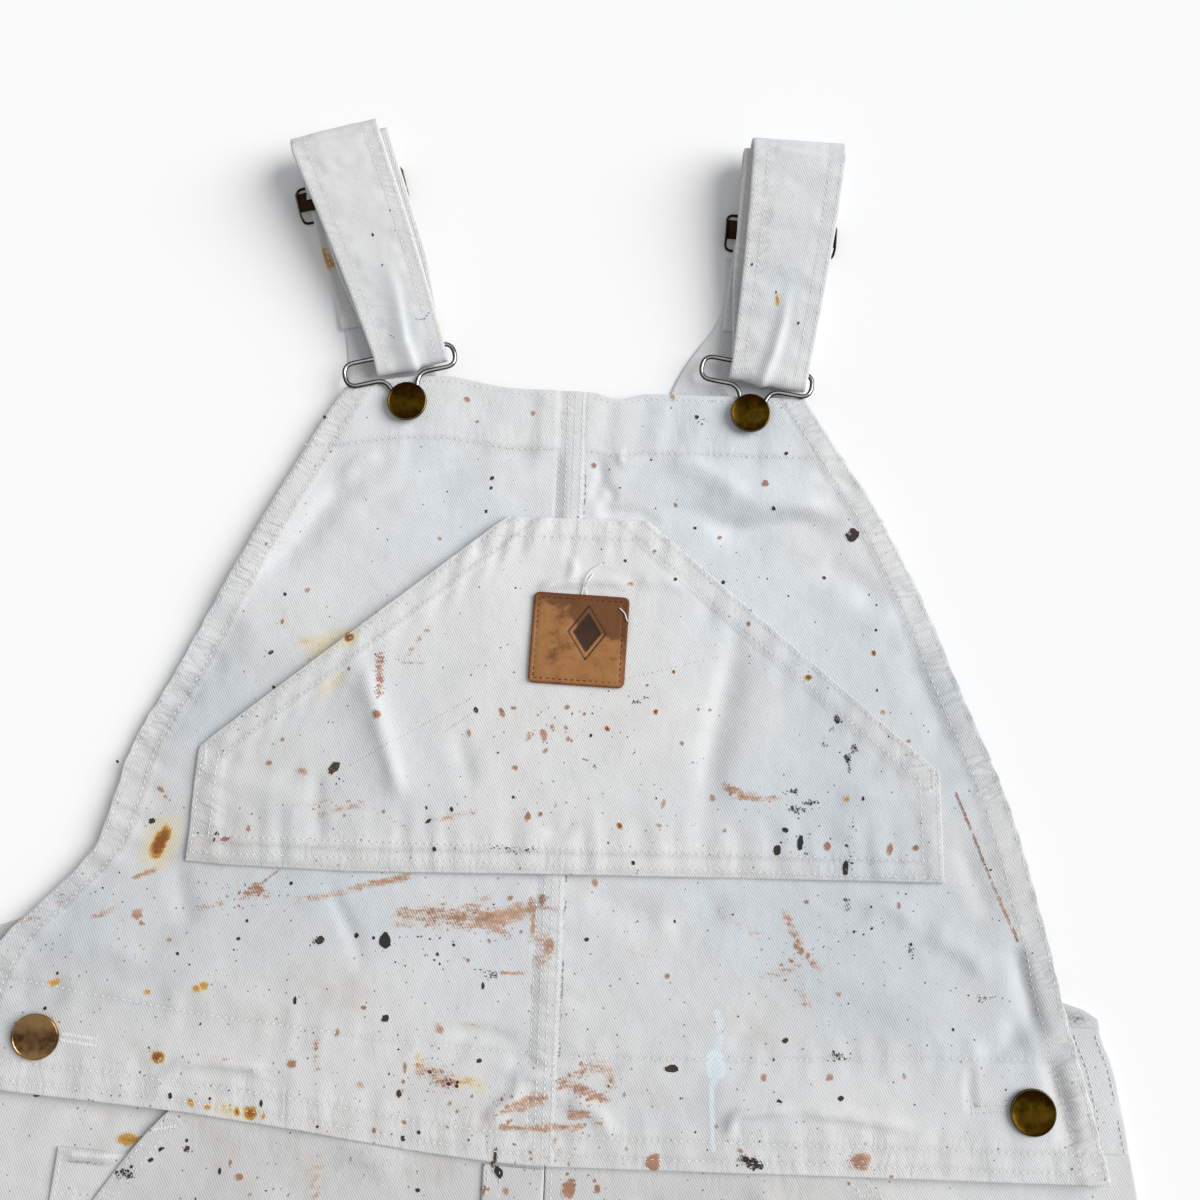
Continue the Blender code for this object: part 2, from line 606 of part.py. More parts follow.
def strap_path(side):
    """The middle line of a strap: up the back, over, down the front, round the hook's bar and back beneath."""
    strap = STRAPS[side]
    rear_height = FLAT_PLY + STRAP_PLY / 2
    bar = flat_point(*strap.button) + upward(strap.hook_lean) * HOOK_BAR
    fold = flat_point(*strap.fold)
    inward = -side * strap.return_shift
    at_bar = bar + across(strap.hook_lean) * strap.bar_shift
    path = []

    for rear in REAR_STRAPS[side]:
        path.append(Station(flat_point(rear.x, rear.y, rear_height), rear.lean, STRAP_WIDTH, 0))

    def turn(centre, axis_height, radius, start, end, count, lean, width, shift, pucker=0.0, reach=0.0):
        """Stations round a fold, from one angle above the surface to another."""
        for angle in np.radians(np.linspace(start, end, count)):
            out = (reach or radius) * math.cos(angle)
            middle = centre + upward(lean) * out + across(lean) * shift
            middle.z = axis_height + radius * math.sin(angle)
            path.append(Station(middle, lean, width, pucker * max(math.sin(angle), 0.0)))

    outer = (FOLD_TOP - rear_height) / 2
    turn(fold, rear_height + outer, outer, -90, 90, 9, strap.fold_lean, strap.fold_width, 0)

    top_at_bar = HOOK_HEIGHT + WRAP_RADIUS
    for t in np.linspace(0, 1, 9)[1:-1]:
        middle = fold.lerp(at_bar, t) + across(strap.fold_lean) * strap.bow * math.sin(math.pi * t)
        middle.z = FOLD_TOP + (top_at_bar - FOLD_TOP) * float(smooth(t * 0.9 + 0.05))
        lean = strap.fold_lean + (strap.hook_lean - strap.fold_lean) * t
        width = strap.fold_width + (strap.bar_width - strap.fold_width) * t
        path.append(Station(middle, lean, width, 0.0028 * float(smooth(2 * t - 0.6))))

    turn(at_bar, HOOK_HEIGHT, WRAP_RADIUS, 90, 270, 9, strap.hook_lean, strap.bar_width, 0, 0.0026, WRAP_REACH)

    inner_top = FOLD_TOP - RETURN_DROP
    under_bar = HOOK_HEIGHT - WRAP_RADIUS
    for t in np.linspace(0, 1, 8)[1:-1]:
        lean = strap.hook_lean + (strap.fold_lean - strap.hook_lean) * t
        middle = at_bar.lerp(fold, t) + across(lean) * inward * t
        middle.z = under_bar + (inner_top - under_bar) * float(smooth(t * 0.9 + 0.05))
        width = strap.bar_width + (STRAP_WIDTH - strap.bar_width) * float(smooth(2 * t))
        path.append(Station(middle, lean, width, 0))
    inner = (inner_top - TAIL_HEIGHT) / 2
    turn(fold, TAIL_HEIGHT + inner, inner, 90, -90, 7, strap.fold_lean, STRAP_WIDTH, inward)
    slide = flat_point(*strap.slide, TAIL_HEIGHT)
    path.append(Station(slide, strap.slide_lean, STRAP_WIDTH, 0))
    return path


def strap(side):
    path = strap_path(side)
    shares = np.array([-0.5, -0.30, -0.10, 0.05, 0.20, 0.36, 0.5])
    ridge = np.exp(-(((shares - 0.05) / 0.12) ** 2))
    under, over = [], []
    for i, station in enumerate(path):
        before = path[max(i - 1, 0)].middle
        after = path[min(i + 1, len(path) - 1)].middle
        wide = across(station.lean)
        normal = (after - before).cross(wide).normalized()
        low, high = [], []
        for share, lift in zip(shares, ridge):
            middle = station.middle + wide * station.width * share + normal * station.pucker * lift
            low.append(middle + normal * STRAP_PLY / 2)
            high.append(middle - normal * STRAP_PLY / 2)
        under.append([tuple(p) for p in low])
        over.append([tuple(p) for p in high])
    return cloth_between(f"strap_{side_name(side)}", np.array(under), np.array(over))


def rounded_path(corners, radius, count=5):
    """A closed path through corners, each rounded by an arc of up to this radius."""
    points = []
    total = len(corners)
    for i, corner in enumerate(corners):
        back = corners[i - 1] - corner
        ahead = corners[(i + 1) % total] - corner
        cut = min(radius, back.length * 0.48, ahead.length * 0.48)
        start = corner + back.normalized() * cut
        end = corner + ahead.normalized() * cut
        for t in np.linspace(0, 1, count):
            points.append(start * (1 - t) ** 2 + corner * 2 * t * (1 - t) + end * t * t)
    return points


def hook(side):
    """One loop of wire: a slot for the strap, then two legs that meet round the button's shank."""
    strap_row = STRAPS[side]
    middle = flat_point(*strap_row.button, HOOK_HEIGHT)
    wide, up = across(strap_row.hook_lean), upward(strap_row.hook_lean)
    low = HOOK_BAR - HOOK_SLOT
    legs = 0.0049
    half = [(HOOK_HALF_WIDTH, HOOK_BAR), (HOOK_HALF_WIDTH, low), (legs + 0.0035, low), (legs, 0.0045), (legs, -legs)]
    outline = half + [(-u, v) for u, v in reversed(half)]
    corners = [middle + wide * u + up * v for u, v in outline]
    path = rounded_path(corners, 0.0056)
    sides = 10
    points, faces = [], []
    for i, point in enumerate(path):
        ahead = (path[(i + 1) % len(path)] - path[i - 1]).normalized()
        out = ahead.cross(Vector((0, 0, 1)))
        for k in range(sides):
            angle = 2 * math.pi * k / sides
            points.append(point + (out * math.cos(angle) + Vector((0, 0, math.sin(angle)))) * WIRE_RADIUS)
    for i in range(len(path)):
        for k in range(sides):
            a, b = i * sides + k, i * sides + (k + 1) % sides
            c, d = (a + sides) % len(points), (b + sides) % len(points)
            faces.append((a, b, d, c))
    return solid(f"hook_{side_name(side)}", points, faces, NICKEL)


def slide(side):
    """A sheet metal slide: end bars under the strap, a middle band over it, and a side bar at each end."""
    strap_row = STRAPS[side]
    length, width = SLIDE_SIZE
    band, bar = 0.0100, 0.0022
    raised = STRAP_PLY + SLIDE_SHEET + 2 * GAP
    xs = [-length / 2, -length / 2 + bar, length / 2 - bar, length / 2]
    ys = [-width / 2, -width / 2 + bar, -band / 2, band / 2, width / 2 - bar, width / 2]
    lifts = [0, 0, raised, raised, 0, 0]
    open_cells = {(1, 1), (3, 1)}
    wide, up = across(strap_row.slide_lean), upward(strap_row.slide_lean)
    middle = flat_point(*strap_row.slide)
    shape = bmesh.new()
    layers = []
    for z in (0.0, SLIDE_SHEET):
        rows = []
        for y, lift in zip(ys, lifts):
            rows.append([shape.verts.new(middle + wide * x + up * y + Vector((0, 0, lift + z))) for x in xs])
        layers.append(rows)
    for r in range(len(ys) - 1):
        for c in range(len(xs) - 1):
            if (r, c) in open_cells:
                continue
            for rows in layers:
                shape.faces.new((rows[r][c], rows[r][c + 1], rows[r + 1][c + 1], rows[r + 1][c]))
    bottom = {vert: layers[1][r][c] for r, row in enumerate(layers[0]) for c, vert in enumerate(row)}
    for edge in [edge for edge in shape.edges if len(edge.link_faces) == 1]:
        a, b = edge.verts
        if a in bottom:
            shape.faces.new((a, b, bottom[b], bottom[a]))
    bmesh.ops.recalc_face_normals(shape, faces=shape.faces[:])
    mesh = bpy.data.meshes.new(f"slide_{side_name(side)}")
    shape.to_mesh(mesh)
    shape.free()
    return add_object(mesh.name, mesh, DARK_BRASS, angle=30)


ButtonRow = namedtuple("ButtonRow", "radius height")


def button(name, middle, radius, cap_height, sides=40):
    """A turned button: shank, flat back, and a shallow cap with a rounded rim."""
    x, y = middle
    foot = float(bib_top(np.array(x), np.array(y))) + GAP
    profile = (
        ButtonRow(0.0030, foot),
        ButtonRow(0.0030, cap_height),
        ButtonRow(radius - 0.0006, cap_height),
        ButtonRow(radius, cap_height + 0.0006),
        ButtonRow(radius, cap_height + 0.0012),
        ButtonRow(radius - 0.0005, cap_height + 0.0018),
        ButtonRow(radius - 0.0011, cap_height + 0.0018),
        ButtonRow(radius - 0.0015, cap_height + 0.0014),
    )
    points, faces = [], []
    for row in profile:
        for k in range(sides):
            angle = 2 * math.pi * k / sides
            points.append((x + row.radius * math.cos(angle), y + row.radius * math.sin(angle), row.height))
    for r in range(len(profile) - 1):
        for k in range(sides):
            a, b = r * sides + k, r * sides + (k + 1) % sides
            faces.append((a, b, b + sides, a + sides))
    faces.append(tuple(range(sides)))
    faces.append(tuple(len(points) - sides + k for k in range(sides)))
    return solid(name, points, faces, OLD_BRASS)


# ---- The garment --------------------------------------------------------------------------------------------
def build():
    made = []
    for side in (-1, 1):
        name = side_name(side)
        made += [back_leg(side), back_bib(side), side_placket(side), hip_facing(side), front_leg(side)]
        made += [bib_half(side), strap(side), hook(side), slide(side)]
        cap_height = HOOK_HEIGHT + WIRE_RADIUS + GAP
        made.append(button(f"bib_button_{name}", STRAPS[side].button, BUTTON_RADIUS, cap_height))
        x, y = SIDE_BUTTONS[side]
        side_cap = float(bib_top(np.array(x), np.array(y))) + 0.0016
        made.append(button(f"side_button_{name}", (x, y), SIDE_BUTTON_RADIUS, side_cap))
    made += [small_pocket(), fly_placket(), centre_seam(), bib_pocket(), leather_patch()]
    return made


def centre_on_origin(nodes):
    """Moves every node so that the middle of the garment's bounding box is over the origin."""
    points = [vert.co for node in nodes for vert in node.data.vertices]
    low = Vector([min(p[k] for p in points) for k in range(3)])
    high = Vector([max(p[k] for p in points) for k in range(3)])
    shift = Vector(((low.x + high.x) / 2, (low.y + high.y) / 2, low.z))
    for node in nodes:
        for vert in node.data.vertices:
            vert.co -= shift
        node.data.update()


for stale in list(bpy.data.objects):
    bpy.data.objects.remove(stale, do_unlink=True)
centre_on_origin(build())
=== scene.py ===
"""White cotton bib overalls laid flat, spattered with paint and rust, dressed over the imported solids.

The tables of outlines, folds and straps hold the values of the part's source, so that each piece of cloth
lies on its solid's form. Most tables are in millimetres, and the rest of the script is in metres. Places are
from the middle of the front waist seam.
"""

import math
from collections import namedtuple

import bpy
import numpy as np
from mathutils import Matrix, Vector


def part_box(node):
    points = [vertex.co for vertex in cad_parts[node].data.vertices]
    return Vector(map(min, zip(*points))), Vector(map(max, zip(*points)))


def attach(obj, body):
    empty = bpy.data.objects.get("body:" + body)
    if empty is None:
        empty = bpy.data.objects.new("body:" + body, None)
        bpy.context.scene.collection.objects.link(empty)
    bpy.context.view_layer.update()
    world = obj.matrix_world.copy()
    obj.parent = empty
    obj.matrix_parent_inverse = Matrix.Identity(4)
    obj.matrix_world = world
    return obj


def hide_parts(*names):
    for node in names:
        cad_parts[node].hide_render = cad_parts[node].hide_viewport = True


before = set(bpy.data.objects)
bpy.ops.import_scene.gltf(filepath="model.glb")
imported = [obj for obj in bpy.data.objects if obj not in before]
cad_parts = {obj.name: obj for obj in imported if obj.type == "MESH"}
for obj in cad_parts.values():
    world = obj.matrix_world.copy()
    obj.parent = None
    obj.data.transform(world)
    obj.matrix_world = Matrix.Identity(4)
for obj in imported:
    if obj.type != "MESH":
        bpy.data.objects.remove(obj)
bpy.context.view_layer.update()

# ---- Driving dimensions -----------------------------------------------------------------------------------
CLOTH = 0.0012  # one ply of heavy cotton drill
HEM_PLY = 0.0008  # the pressed second ply of a turned hem
GAP = 0.0003  # between pieces at a seam
LAID_GAP = 0.0004  # between a piece and what is sewn on it
FLAT_PLY = CLOTH + GAP  # from one flat layer to the next

BIB_HEIGHT = 0.357  # waist seam to the top of the bib
RISE = 0.300  # waist seam to the crotch
INSEAM = 0.740  # crotch to the leg hems
CROTCH_Y = -RISE
HEM_Y = -RISE - INSEAM

SIDE_HEM = 0.014  # turned hem down each side of the bib
TOP_HEM = 0.031  # turned hem along the top of the bib
LEG_HEM = 0.022
POCKET_HEM = 0.012
SEAM_LAP = 0.012  # cloth of the legs that runs up under the bib at the waist

PLACKET_FLOOR = FLAT_PLY
FACING_FLOOR = 2 * FLAT_PLY
SMALL_POCKET_FLOOR = 3 * FLAT_PLY
WAIST_BIB_FLOOR = 5 * FLAT_PLY
HIGH_BIB_FLOOR = 0.0052  # underside of the bib higher up, over the straps' lower ends
EDGE_ROUND = 0.014  # width over which a leg's front curves down to its back at a seam
EDGE_INSET = 0.0008  # how far the front stays inside the back's outline

STRAP_WIDTH = 0.0445
STRAP_PLY = 0.0022  # two plies sewn together
WIRE_RADIUS = 0.0014
HOOK_HEIGHT = 0.0086  # middle of the wire above the surface
HOOK_BAR = 0.0252  # button to the hook's straight bar
HOOK_HALF_WIDTH = 0.0271
HOOK_SLOT = 0.0116  # between the two long wires
WRAP_RADIUS = WIRE_RADIUS + 2 * GAP + STRAP_PLY / 2  # strap above and below the hook's bar
WRAP_REACH = 0.0082  # and how far its loose turn hangs past the bar
FOLD_TOP = 0.0246  # middle of the strap at the top of its outer fold
RETURN_DROP = 0.0055  # the returning layer below the front one
TAIL_HEIGHT = 0.0067
SLIDE_SIZE = (0.0555, 0.0200)
SLIDE_SHEET = 0.0012
BUTTON_RADIUS = 0.0096
SIDE_BUTTON_RADIUS = 0.0103

# ---- Outlines ---------------------------------------------------------------------------------------------
def metres(value):
    return round(value / 1000, 7)


def table(kind, lengths, *rows):
    """Rows of one kind, whose first values, as many as said, are lengths given in millimetres."""
    return tuple(kind(*map(metres, row[:lengths]), *row[lengths:]) for row in rows)


Sides = namedtuple("Sides", "y left right")
# The whole garment from the hems to the waist.
SILHOUETTE = table(Sides, 3,
    (-1040, -297, 299), (-850, -301, 296), (-650, -303, 300), (-450, -299, 303), (-300, -297, 297),
    (-180, -290, 285), (-80, -284, 273), (0, -279, 263.8), (60, -275, 252), (110, -272, 245),
)
# The legs' inner edges, from the hems to the crotch.
INSEAMS = table(Sides, 3,
    (-1040, -71, 73), (-850, -55, 53), (-650, -36, 39), (-450, -17, 22), (-340, -5, 6), (-300, -0.8, 0.8),
)
# The bib and its waist, whose left side hangs a little wider than its right.
BIB_SIDES = table(Sides, 3,
    (0, -263, 250.5), (50, -258.5, 238), (78, -249, 231), (103, -232, 225.8), (130, -213, 219),
    (155, -205.5, 212), (178, -200, 203.8), (213, -183, 188.5), (262, -160, 168.2), (307, -138.5, 144.5),
    (340, -121.5, 123), (357, -112, 112),
)
# How far the bib's top edge strays above or below its height, pulled up by the left strap.
Edge = namedtuple("Edge", "x rise")
BIB_TOP_EDGE = table(Edge, 2,
    (-112, -2.4), (-95, 2), (-78, 4.8), (-61, 5.2), (-45, 2.6), (-31, 0.5), (-10, 0), (9, -0.6), (22, -3.2),
    (36, -0.2), (112, 0),
)
# The back above the waist: side corners that stand out past the bib, then in under it to the strap arms.
BACK_BIB_SIDES = table(Sides, 3,
    (0, -279, 263.8), (13, -278.5, 262), (32, -276.8, 259), (50, -275.5, 255.2), (62, -275, 250.5),
    (71.5, -274.5, 248.8), (76.5, -273.5, 233), (92, -260, 205), (112, -208, 185), (160, -175, 162),
    (220, -145, 138), (290, -122, 120), (357, -111.5, 112.5), (396, -117.2, 114.5), (430, -129, 117),
)
# The neckline of the back, from its lowest point up the inside of the arms.
NECKLINE = table(Sides, 3,
    (250, -0.5, 0.5), (262, -33, 20), (300, -56, 36), (357, -66.5, 46.2), (372, -70, 52.9), (383, -73, 60),
    (393, -76, 67.2), (405, -79.5, 71.4), (430, -89, 72.4),
)

# The largest folds of each panel: a soft ridge from one end to the other, with its width across.
Fold = namedtuple("Fold", "x0 y0 x1 y1 width height")
BIB_FOLDS = table(Fold, 6,
    (-170, 225, -118, 318, 12, 1.6), (-128, 285, -52, 308, 11, 1.3), (50, 318, 135, 296, 10, 1.8),
    (112, 262, 165, 246, 10, 1.2), (-185, 62, -118, 52, 12, 1.4), (-235, 110, -200, 160, 10, 1.4),
    (60, 26, 140, 34, 11, 1.7), (100, 90, 195, 66, 13, 1.5), (196, 130, 216, 70, 10, 1.2),
)
POCKET_FOLDS = table(Fold, 6,
    (-102, 232, -68, 146, 10, 2.1), (-140, 175, -120, 142, 11, 1.2), (100, 240, 74, 150, 14, 1.3),
    (150, 172, 128, 144, 11, 1),
)
LEG_FOLDS = table(Fold, 6,
    (-60, -235, -215, -170, 22, 4), (-40, -300, -200, -345, 20, 3.6), (-60, -350, -235, -480, 26, 4.8),
    (-175, -420, -150, -680, 26, 5.5), (-80, -640, -245, -705, 22, 4.4), (-90, -790, -230, -750, 20, 3.4),
    (-205, -760, -175, -990, 24, 4.4), (50, -225, 220, -190, 22, 3.8), (40, -295, 210, -330, 20, 4),
    (60, -360, 225, -520, 26, 4.6), (145, -450, 190, -700, 26, 5.2), (85, -690, 250, -650, 22, 4.2),
    (100, -760, 240, -800, 20, 3.4), (215, -800, 185, -990, 24, 4.6),
)
Level = namedtuple("Level", "y height")
# The underside of the front legs, highest at the waist where the facings and plackets lie below it.
LEG_LEVELS = (
    Level(-1.040, 0.0024),
    Level(-0.900, 0.0030),
    Level(-0.350, 0.0040),
    Level(-0.170, 4 * FLAT_PLY),
    Level(0.020, 4 * FLAT_PLY),
)

# Slanted hand pockets: where the mouth leaves the waist seam and meets the side seam, and its inward bow.
Slant = namedtuple("Slant", "top_x side_y bow")
SLANTS = {-1: Slant(-0.168, -0.118, 0.0), 1: Slant(0.142, -0.128, 0.006)}
FACING_LAP = 0.040  # how far a facing runs in under the front leg
PLACKET_WIDTH = 0.045
PLACKET_TOP = 0.066
SMALL_POCKET = {"left": -0.2165, "right": -0.1560, "top": -0.0172, "bottom": -0.075}
FLY = {"width": 0.0270, "top": -0.0015, "bottom": -0.185}

# The bib pocket, with its two corners cut away to make slanted hand openings.
POCKET_X = 0.004
PocketRow = namedtuple("PocketRow", "y half")
POCKET_ROWS = table(PocketRow, 2, (128.5, 174), (179, 172), (293, 33.5))
PATCH_CENTRE = (0.0065, 0.2345)
PATCH_SIZE = (0.0450, 0.0430)
PATCH_LEATHER = 0.0016

CENTRE_SEAM_X = 0.0003  # middle of the felled seam
CENTRE_SEAM_WIDTH = 0.0154
CENTRE_SEAM_PLY = 0.0009

Strap = namedtuple(
    "Strap",
    "button hook_lean bar_shift fold fold_lean bow fold_width bar_width slide slide_lean return_shift",
)
# Leans are in degrees, to the viewer's left. The fold is the middle of the strap's turn at the shoulder. The
# bow is how far the strap bends to the viewer's right between the fold and the hook. The bar shift is along
# the hook's bar to the right. The return shift is how much nearer the middle the returning layer lies.
STRAPS = {
    -1: Strap(
        button=(-0.0806, 0.3474), hook_lean=14.5, bar_shift=0.0058, fold=(-0.1203, 0.4722), fold_lean=17,
        bow=0.0009, fold_width=0.0438, bar_width=0.0350, slide=(-0.1157, 0.4568), slide_lean=16,
        return_shift=0.0038,
    ),
    1: Strap(
        button=(0.0850, 0.3474), hook_lean=-9, bar_shift=0.0055, fold=(0.1053, 0.4740), fold_lean=-2,
        bow=0.0008, fold_width=0.0456, bar_width=0.0378, slide=(0.0995, 0.4425), slide_lean=-3,
        return_shift=0.0042,
    ),
}
Rear = namedtuple("Rear", "x y lean")
# The straps' rear parts, from under the bib to where they leave the surface.
REAR_STRAPS = {
    -1: table(Rear, 2, (-94.5, 390, 12), (-99, 408, 15), (-107.5, 433, 17), (-115, 455, 17)),
    1: table(Rear, 2, (93.5, 390, -4), (95.5, 408, -4), (98.5, 435, -4), (102, 456, -3)),
}
SIDE_BUTTONS = {-1: (-0.2289, 0.0480), 1: (0.2154, 0.0306)}
POCKET_TOP = POCKET_ROWS[-1].y
WAIST_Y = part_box("bib_pocket")[1][1] - POCKET_TOP  # of the waist seam, in the frame


def bell(off, width):
    """1 on a line, falling away softly to either side of it."""
    return np.exp(-((off / width) ** 2))


def smooth(t):
    """0 to 1 with flat ends."""
    t = np.clip(t, 0.0, 1.0)
    return t * t * (3 - 2 * t)


def along(rows, name, y):
    """A table's named column, on a smooth curve through its rows that never overshoots them."""
    ys = np.array([row[0] for row in rows])
    values = np.array([getattr(row, name) for row in rows])
    y = np.clip(np.asarray(y, float), ys[0], ys[-1])
    step = np.diff(ys)
    slope = np.diff(values) / step
    tangent = np.concatenate([[slope[0]], (slope[1:] + slope[:-1]) / 2, [slope[-1]]])
    turning = np.concatenate([[False], slope[1:] * slope[:-1] <= 0, [False]])
    tangent[turning] = 0.0
    before = np.abs(np.concatenate([[slope[0]], slope]))
    after = np.abs(np.concatenate([slope, [slope[-1]]]))
    limit = 3 * np.minimum(before, after)
    tangent = np.clip(tangent, -limit, limit)
    i = np.clip(np.searchsorted(ys, y) - 1, 0, len(step) - 1)
    t = (y - ys[i]) / step[i]
    start = values[i] * (1 + 2 * t) * (1 - t) ** 2 + tangent[i] * step[i] * t * (1 - t) ** 2
    end = values[i + 1] * t * t * (3 - 2 * t) + tangent[i + 1] * step[i] * t * t * (t - 1)
    return start + end


def side_name(side):
    return "left" if side < 0 else "right"


def waist_seam(x):
    """The seam between the bib and the legs, which climbs towards the left side."""
    climb, reach, power = 0.024, 0.244, 1.3
    return climb * (np.clip(-np.asarray(x, float), 0, None) / reach) ** power


# How far the worn waist edge is drawn up from its solid's.
WORN_UP_X = (-0.240, -0.200, -0.160, -0.110, -0.060, -0.015)
WORN_UP = (0.0002, 0.0022, 0.0036, 0.0032, 0.0010, 0.0)


def follow_waist(x, y):
    """The y of a point near the waist once its row follows the seam."""
    drawn_up = np.interp(x, WORN_UP_X, WORN_UP)
    return y + smooth((y + 0.060) / 0.060) * (1 - smooth((y - 0.010) / 0.140)) * (waist_seam(x) + drawn_up)


def follow_top(x, y):
    """The y of a point near the top of the bib once its row follows the top edge."""
    return y + smooth((y - 0.270) / (BIB_HEIGHT - 0.270)) * along(BIB_TOP_EDGE, "rise", x)


def folds(rows, x, y):
    """Height of all a table's folds at x, y, each tapered to nothing at its ends."""
    total = np.zeros(np.broadcast(x, y).shape)
    for fold in rows:
        run_x, run_y = fold.x1 - fold.x0, fold.y1 - fold.y0
        length = math.hypot(run_x, run_y)
        t = ((x - fold.x0) * run_x + (y - fold.y0) * run_y) / length**2
        across = ((x - fold.x0) * run_y - (y - fold.y0) * run_x) / length
        taper = smooth(3 * t) * smooth(3 * (1 - t))
        total = total + fold.height * taper * bell(across, fold.width)
    return total


def leg_floor(side, x, y):
    """Underside of a front leg, which curves down to the back along the side seam and the inseam."""
    level = along(LEG_LEVELS, "height", y) + folds(LEG_FOLDS, x, y)
    name = side_name(side)
    outer = np.abs(along(SILHOUETTE, name, y) - x) - EDGE_INSET
    inner = np.abs(x - along(INSEAMS, name, y)) - EDGE_INSET
    sewn_outer = smooth((SLANTS[side].side_y - 0.014 - y) / 0.035)
    sewn_inner = smooth((CROTCH_Y - y) / 0.035)
    rise_outer = np.sin(np.clip(outer / EDGE_ROUND, 0, 1) * math.pi / 2)
    rise_inner = np.sin(np.clip(inner / EDGE_ROUND, 0, 1) * math.pi / 2)
    share = (1 - sewn_outer * (1 - rise_outer)) * (1 - sewn_inner * (1 - rise_inner))
    return FLAT_PLY + (level - FLAT_PLY) * share


def bib_floor(x, y):
    """Underside of the bib where it is one ply: over the legs at the waist, lower towards its top."""
    drop = (WAIST_BIB_FLOOR - HIGH_BIB_FLOOR) * smooth((y - 0.035) / 0.085)
    return WAIST_BIB_FLOOR + HEM_PLY * (1 - smooth((y - 0.035) / 0.085)) - drop + folds(BIB_FOLDS, x, y)


def bib_top(x, y):
    return bib_floor(x, y) + CLOTH


def over_centre_seam(x):
    """How much the pocket is raised where it crosses the felled seam."""
    off = np.abs(x - CENTRE_SEAM_X) - CENTRE_SEAM_WIDTH / 2
    return (CENTRE_SEAM_PLY + LAID_GAP) * (1 - smooth((off - 0.030) / 0.045))


def pocket_top(x, y):
    return bib_top(x, y) + LAID_GAP + HEM_PLY + CLOTH + over_centre_seam(x) + folds(POCKET_FOLDS, x, y)


def outer_edge(side, y):
    return along(SILHOUETTE, side_name(side), y) - side * EDGE_INSET


def slant_x(side, y):
    """The hand pocket's mouth, from the waist seam out to the side seam."""
    slant = SLANTS[side]
    share = np.clip(np.asarray(y, float) / slant.side_y, -0.15, 1.0)
    bow = slant.bow * np.sin(math.pi * np.clip(share, 0, 1))
    end = outer_edge(side, slant.side_y)
    return slant.top_x + (end - slant.top_x) * share - side * bow

# ---- Creases ----------------------------------------------------------------------------------------------
# Soft ridges (or troughs, where the height is negative) along a path through a few points. The sharp side is
# steeper by this factor, on the right of the path's direction.
Crease = namedtuple("Crease", "path width height sharp")


def path_of(values):
    """Points from x, y, x, y in millimetres."""
    return tuple(zip(map(metres, values[::2]), map(metres, values[1::2])))


def crease_table(*rows):
    """Creases from their width, height and sharpness, then the x and y of each point, in millimetres."""
    return tuple(Crease(path_of(row[3:]), metres(row[0]), metres(row[1]), row[2]) for row in rows)


